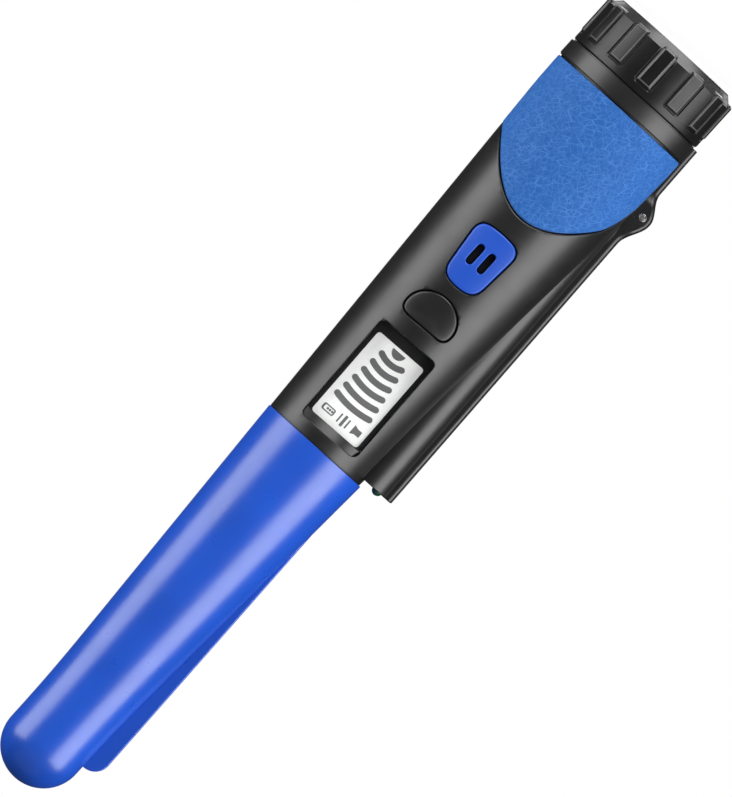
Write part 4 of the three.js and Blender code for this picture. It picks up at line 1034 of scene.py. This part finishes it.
def make_segments():
    """The screen's dark segments: a target half disc, six signal arcs and three plain status signs."""
    low, high = PANEL_Y - 0.06, PANEL_Y - 0.005
    turns = np.linspace(0, math.pi, 25)
    outlines = [np.stack([1.95 * np.cos(turns), 100.4 + 1.95 * np.sin(turns)], 1)]
    for k in range(6):
        outlines.append(arc_outline(104.05 + 2.83 * k, 3.2 + 0.39 * k, 1.58, 0.75 - 0.025 * k))
    outlines = [outline + np.array([DISPLAY_X / 2, 0]) for outline in outlines]
    for x, length, width in ((-0.73, 3.1, 0.76), (0.55, 2.5, 0.42), (-1.95, 2.5, 0.42)):
        sides = x - width / 2, x + width / 2
        outlines.append(box_outline(*sides, 121.85 - length / 2, 121.85 + length / 2, 0.12))
    for x in (2.76, 3.5, 4.17):
        outlines.append(np.stack([x + 0.32 * np.cos(2 * turns[:-1]), 122 + 0.32 * np.sin(2 * turns[:-1])], 1))
    speaker = [(-6.1, 121.05), (-4.7, 121.05), (-3.6, 120.6), (-3.6, 123.2), (-4.7, 122.65), (-6.1, 122.65)]
    outlines.append(rounded_outline([(x, z, 0.2) for x, z in speaker], 3))
    made = plate("screen_segments", box_outline(2.1, 5.7, 121.1, 122.95, 0.6), low, high, 0.005)
    cut(made, plate("hole", box_outline(2.42, 5.2, 121.43, 122.62, 0.35), low - 0.2, high + 0.2, 0.005))
    join(made, *(loft("segment", [at_y(outline, low), at_y(outline, high)]) for outline in outlines))
    middle = Vector((DISPLAY_X, 0, DISPLAY_MIDDLE_Z)) * MM
    turn = Matrix.Rotation(-FACE_SLANT, 4, "Y")
    moved(made, DISPLAY_X / 2, 0, 0)
    made.data.transform(Matrix.Translation(middle) @ turn @ Matrix.Translation(-middle))
    finish_piece(made, "component_black", material=segment_ink)


# ---- lamp, pin and screws


def make_lamp():
    profile = [(0, 124.9), (1.7, 124.9), (1.7, 125.9), (1.42, 126)]
    for step in range(13):
        turn = step / 12 * math.pi / 2
        profile.append((1.42 * math.cos(turn), 128.8 + 1.4 * math.sin(turn)))
    made = moved(turned("lamp_lens", profile, 48), LAMP_X, 0, 0)
    finish_piece(made, "lamp_clear", "lamp")


def make_pin():
    half = 2.34
    profile = [(0, -half), (0.55, -half), (0.62, -half + 0.07), (0.85, -half + 0.04), (1.02, -half + 0.14)]
    made = turned("lanyard_pin_rod", profile + [(r, -z) for r, z in reversed(profile)], 48)
    laid_along_y(made, PIN_X, 0, PIN_Z)
    steel = metal("pin steel", (0.3, 0.3, 0.29), 0.4)
    finish_piece(made, "steel", "lanyard_pin", material=steel)


def make_screws():
    for i, (x, z, seat_y) in enumerate(SCREWS):
        head_r, head_h, shank_r, length = 2.4, 1.6, 1.1, 12
        profile = [(0, length), (0.4, length), (shank_r, length - 1), (shank_r, 0), (head_r, 0)]
        for step in range(7):
            turn = step / 6 * math.pi / 2
            profile.append((head_r - 0.5 + 0.5 * math.cos(turn), -head_h + 0.5 - 0.5 * math.sin(turn)))
        profile.append((0, -head_h - 0.06))
        made = turned(f"casing_screw_{i + 1}", profile, 48)
        for a, b in ((1.45, 0.28), (0.28, 1.45)):
            recess = plate("recess", box_outline(-a, a, -b, b, 0.1), -3, -0.85, 0.02)
            cut(made, laid_along_y(recess, 0, 0, 0))
        laid_along_y(made, x, seat_y + 0.05, z)
        finish_piece(made, "steel", f"shell_screw_{i + 1}", material=dark_steel)


# ---- battery cap


def bar_depth(across, z):
    """How deep a point lies inside the outline of the groove round a grip bar."""
    corner = BAR_FRONT_CORNER if z > 7 else BAR_REAR_CORNER
    dx = abs(across) - (BAR_HALF_WIDTH - corner)
    dz = abs(z - (BAR_REAR_Z + BAR_FRONT_Z) / 2) - ((BAR_FRONT_Z - BAR_REAR_Z) / 2 - corner)
    return corner - math.hypot(max(dx, 0), max(dz, 0)) - min(max(dx, dz), 0)


def grip_relief(across, r, z):
    """Height of the cap's skin over its wall: groove, steep foot, chamfer and flat top of a grip bar."""
    depth = bar_depth(across, z)
    groove = BAR_GROOVE * float(np.interp(z, (2.5, 3.1), (0, 1)))
    top = float(np.interp(z, (1.5, 1.62, 1.75, 2.1), (r, 19.5, 20, BAR_TOP_R))) - r
    chamfer_foot = top - BAR_CHAMFER_HEIGHT
    if depth <= BAR_FOOT:
        return float(np.interp(depth, BAR_GROOVE_EDGES, (0, -groove, -groove)))
    return max(-groove, float(np.interp(depth, BAR_CHAMFER_EDGES, (-groove, chamfer_foot, top))))


def chamfer_highlight(point, pitch):
    """How much painted highlight a point of the cap gets: 1 at the edge of a grip bar's top, fading to 0 on
    both sides.
    """
    around = (math.atan2(point.y, point.x) + math.pi / 2) * CAP_R
    across = (around + pitch / 2) % pitch - pitch / 2
    if point.z < 2 or math.hypot(point.x, point.y) < CAP_R - BAR_GROOVE / 2:
        return 0.0
    return float(np.interp(bar_depth(across, point.z), (0.9, 1.1, 1.2, 1.35), (0, 1, 1, 0)))


def make_cap():
    """The screw cap, whose skin is a grid of rings with grip bars raised out of it."""
    pitch = 2 * math.pi * CAP_R / GRIP_BARS
    half = np.concatenate([BAR_ACROSS, np.linspace(BAR_HALF_WIDTH, pitch / 2, 6)[1:]])
    across = np.concatenate([-half[-2:0:-1], half])
    angles = np.concatenate([across + pitch * bar for bar in range(GRIP_BARS)]) / CAP_R - math.pi / 2
    across = np.tile(across, GRIP_BARS)
    bevel_rear, bevel_front = 0.34, 2.7
    bevel_r = CAP_FACE_R + 0.14
    side = [(CAP_FACE_R - 0.22, 0.03), (CAP_FACE_R, 0.14), (bevel_r, bevel_rear)]
    for z in np.linspace(bevel_rear, bevel_front, 21)[1:]:
        side.append((bevel_r + (CAP_R - bevel_r) * (z - bevel_rear) / (bevel_front - bevel_rear), z))
    side += [(CAP_R, z) for z in np.linspace(bevel_front, BAR_ENDS_Z, 12)[1:]]
    side += [(CAP_R, BAR_ENDS_Z + step) for step in BAR_END_STEPS]
    rim = [(CAP_R - inset, z) for inset, z in CAP_RIM_ROUND]
    face = [(0, 0), (6, 0), (CAP_FACE_R - 0.5, 0)]
    inside = [(18.45, CAP_RIM_Z), (18.45, 13.4), (18.25, 13.1), (18.25, 3), (2.4, 3), (2.4, 1.2), (0, 1.2)]
    rings = []
    for r, z in face + side + rim + inside:
        radius = np.full(len(angles), float(r))
        if (r, z) in side:
            radius += [grip_relief(a, r, z) for a in across]
        rings.append(ring_at(radius, angles, z))
    made = loft("battery_cap_grip", rings)
    # each point's share of the painted highlight on the bar chamfers
    painted_highlight = made.data.attributes.new("painted_highlight", "FLOAT", "POINT")
    painted_highlight.data.foreach_set("value", [chamfer_highlight(vertex.co / MM, pitch) for vertex in made.data.vertices])
    finish_piece(made, "cap_black", "battery_cap", body="battery_cap", sharp_angle=26)


# ---- stage, light and camera


def mix_for_camera(tree, share, others_see, camera_sees, output):
    """Lets camera rays see one shader by a share, and all other rays see only the other shader."""
    path = tree.nodes.new("ShaderNodeLightPath")
    shown = tree.nodes.new("ShaderNodeMath")
    shown.operation = "MULTIPLY"
    shown.inputs[1].default_value = share
    mix = tree.nodes.new("ShaderNodeMixShader")
    tree.links.new(path.outputs["Is Camera Ray"], shown.inputs[0])
    tree.links.new(shown.outputs["Value"], mix.inputs["Fac"])
    tree.links.new(others_see.outputs[0], mix.inputs[1])
    tree.links.new(camera_sees.outputs[0], mix.inputs[2])
    tree.links.new(mix.outputs["Shader"], output.inputs["Surface"])


def make_floor():
    """A round white floor, just below the unscrewed cap. Its glow shows but does not light the probe."""
    turns = np.linspace(0, 2 * math.pi, 97)[:-1]
    ring = [(FLOOR_R * math.cos(turn), FLOOR_R * math.sin(turn), FLOOR_Z) for turn in turns]
    floor = add_object("floor", ring, [tuple(range(len(ring)))])
    material = bpy.data.materials.new("floor white")
    material.use_nodes = True
    tree = material.node_tree
    matt = tree.nodes["Principled BSDF"]
    matt.inputs["Base Color"].default_value = (0.8, 0.8, 0.8, 1)
    matt.inputs["Roughness"].default_value = 0.9
    glow = tree.nodes.new("ShaderNodeEmission")
    glow.inputs["Strength"].default_value = 1.3
    mix_for_camera(tree, 0.72, matt, glow, tree.nodes["Material Output"])
    floor.data.materials.append(material)
    floor.visible_shadow = False
    floor.visible_glossy = False
    floor.visible_diffuse = False


def make_world():
    """White behind the object, and dim even light from all round it."""
    world = bpy.data.worlds.new("studio")
    bpy.context.scene.world = world
    world.use_nodes = True
    tree = world.node_tree
    dim = tree.nodes["Background"]
    white = tree.nodes.new("ShaderNodeBackground")
    for background, strength in ((dim, 0.045), (white, 1)):
        background.inputs["Color"].default_value = (1, 1, 1, 1)
        background.inputs["Strength"].default_value = strength
    mix_for_camera(tree, 1, dim, white, tree.nodes["World Output"])


def softbox(name, place, width, length, power):
    """A softbox that faces the middle of the probe."""
    light = bpy.data.lights.new(name, "AREA")
    light.shape = "RECTANGLE"
    light.size = width
    light.size_y = length
    light.energy = power
    holder = bpy.data.objects.new(name, light)
    centre = Vector((0, 0, 0.12))
    holder.location = centre + Vector(place)
    holder.rotation_mode = "QUATERNION"
    holder.rotation_quaternion = (-Vector(place)).to_track_quat("-Z", "Y")
    holder.visible_camera = False
    bpy.context.scene.collection.objects.link(holder)


def round_the_side(azimuth, distance):
    """A place level with the probe's middle. Azimuth 0 is the camera's side, and it grows towards +X."""
    turn = math.radians(azimuth)
    return distance * math.sin(turn), -distance * math.cos(turn), 0


def make_lights():
    softbox("keel_softbox", round_the_side(-61, 0.55), 0.46, 0.62, 5.8)
    softbox("far_softbox", round_the_side(71, 0.55), 0.46, 0.62, 4.9)
    softbox("front_fill", round_the_side(0, 1.3), 1.8, 1.8, 1.1)
    softbox("under_softbox", (0, -0.1, -0.55), 0.36, 0.52, 5.8)
    softbox("over_softbox", (0, -0.3, 0.6), 0.8, 0.8, 0.45)
    softbox("back_fill", (0, 1, -0.84), 0.85, 0.85, 11)


def make_camera():
    """Looks straight at the display, with the probe across the picture from lower left to upper right."""
    lens, sensor, view_height = 1600, 36, 194.19
    camera = bpy.data.cameras.new("camera")
    camera.lens = lens
    camera.sensor_width = sensor
    camera.clip_start = 0.05
    camera.clip_end = 20
    holder = bpy.data.objects.new("camera", camera)
    right = Vector((-0.7409, 0, -0.6716))
    up = Vector((0.6716, 0, -0.7409))
    back = Vector((0, -1, 0))
    turn = Matrix((right, up, back)).transposed().to_4x4()
    target = Vector((-1.48, 0, 114.1)) * MM
    holder.matrix_world = Matrix.Translation(target + back * view_height * lens / sensor * MM) @ turn
    bpy.context.scene.collection.objects.link(holder)
    bpy.context.scene.camera = holder


make_camera()
make_sheath()
make_front_shell()
make_rear_shell()
make_pad("front_pad_skin", "front_grip_pad", rear=False)
make_pad("rear_pad_skin", "rear_grip_pad", rear=True)
make_power_key()
make_power_key_core()
make_mode_key()
make_window()
make_bezel()
make_screen()
make_segments()
make_lamp()
make_pin()
make_screws()
make_cap()
make_floor()
make_world()
make_lights()
bpy.context.scene.view_settings.view_transform = "Standard"
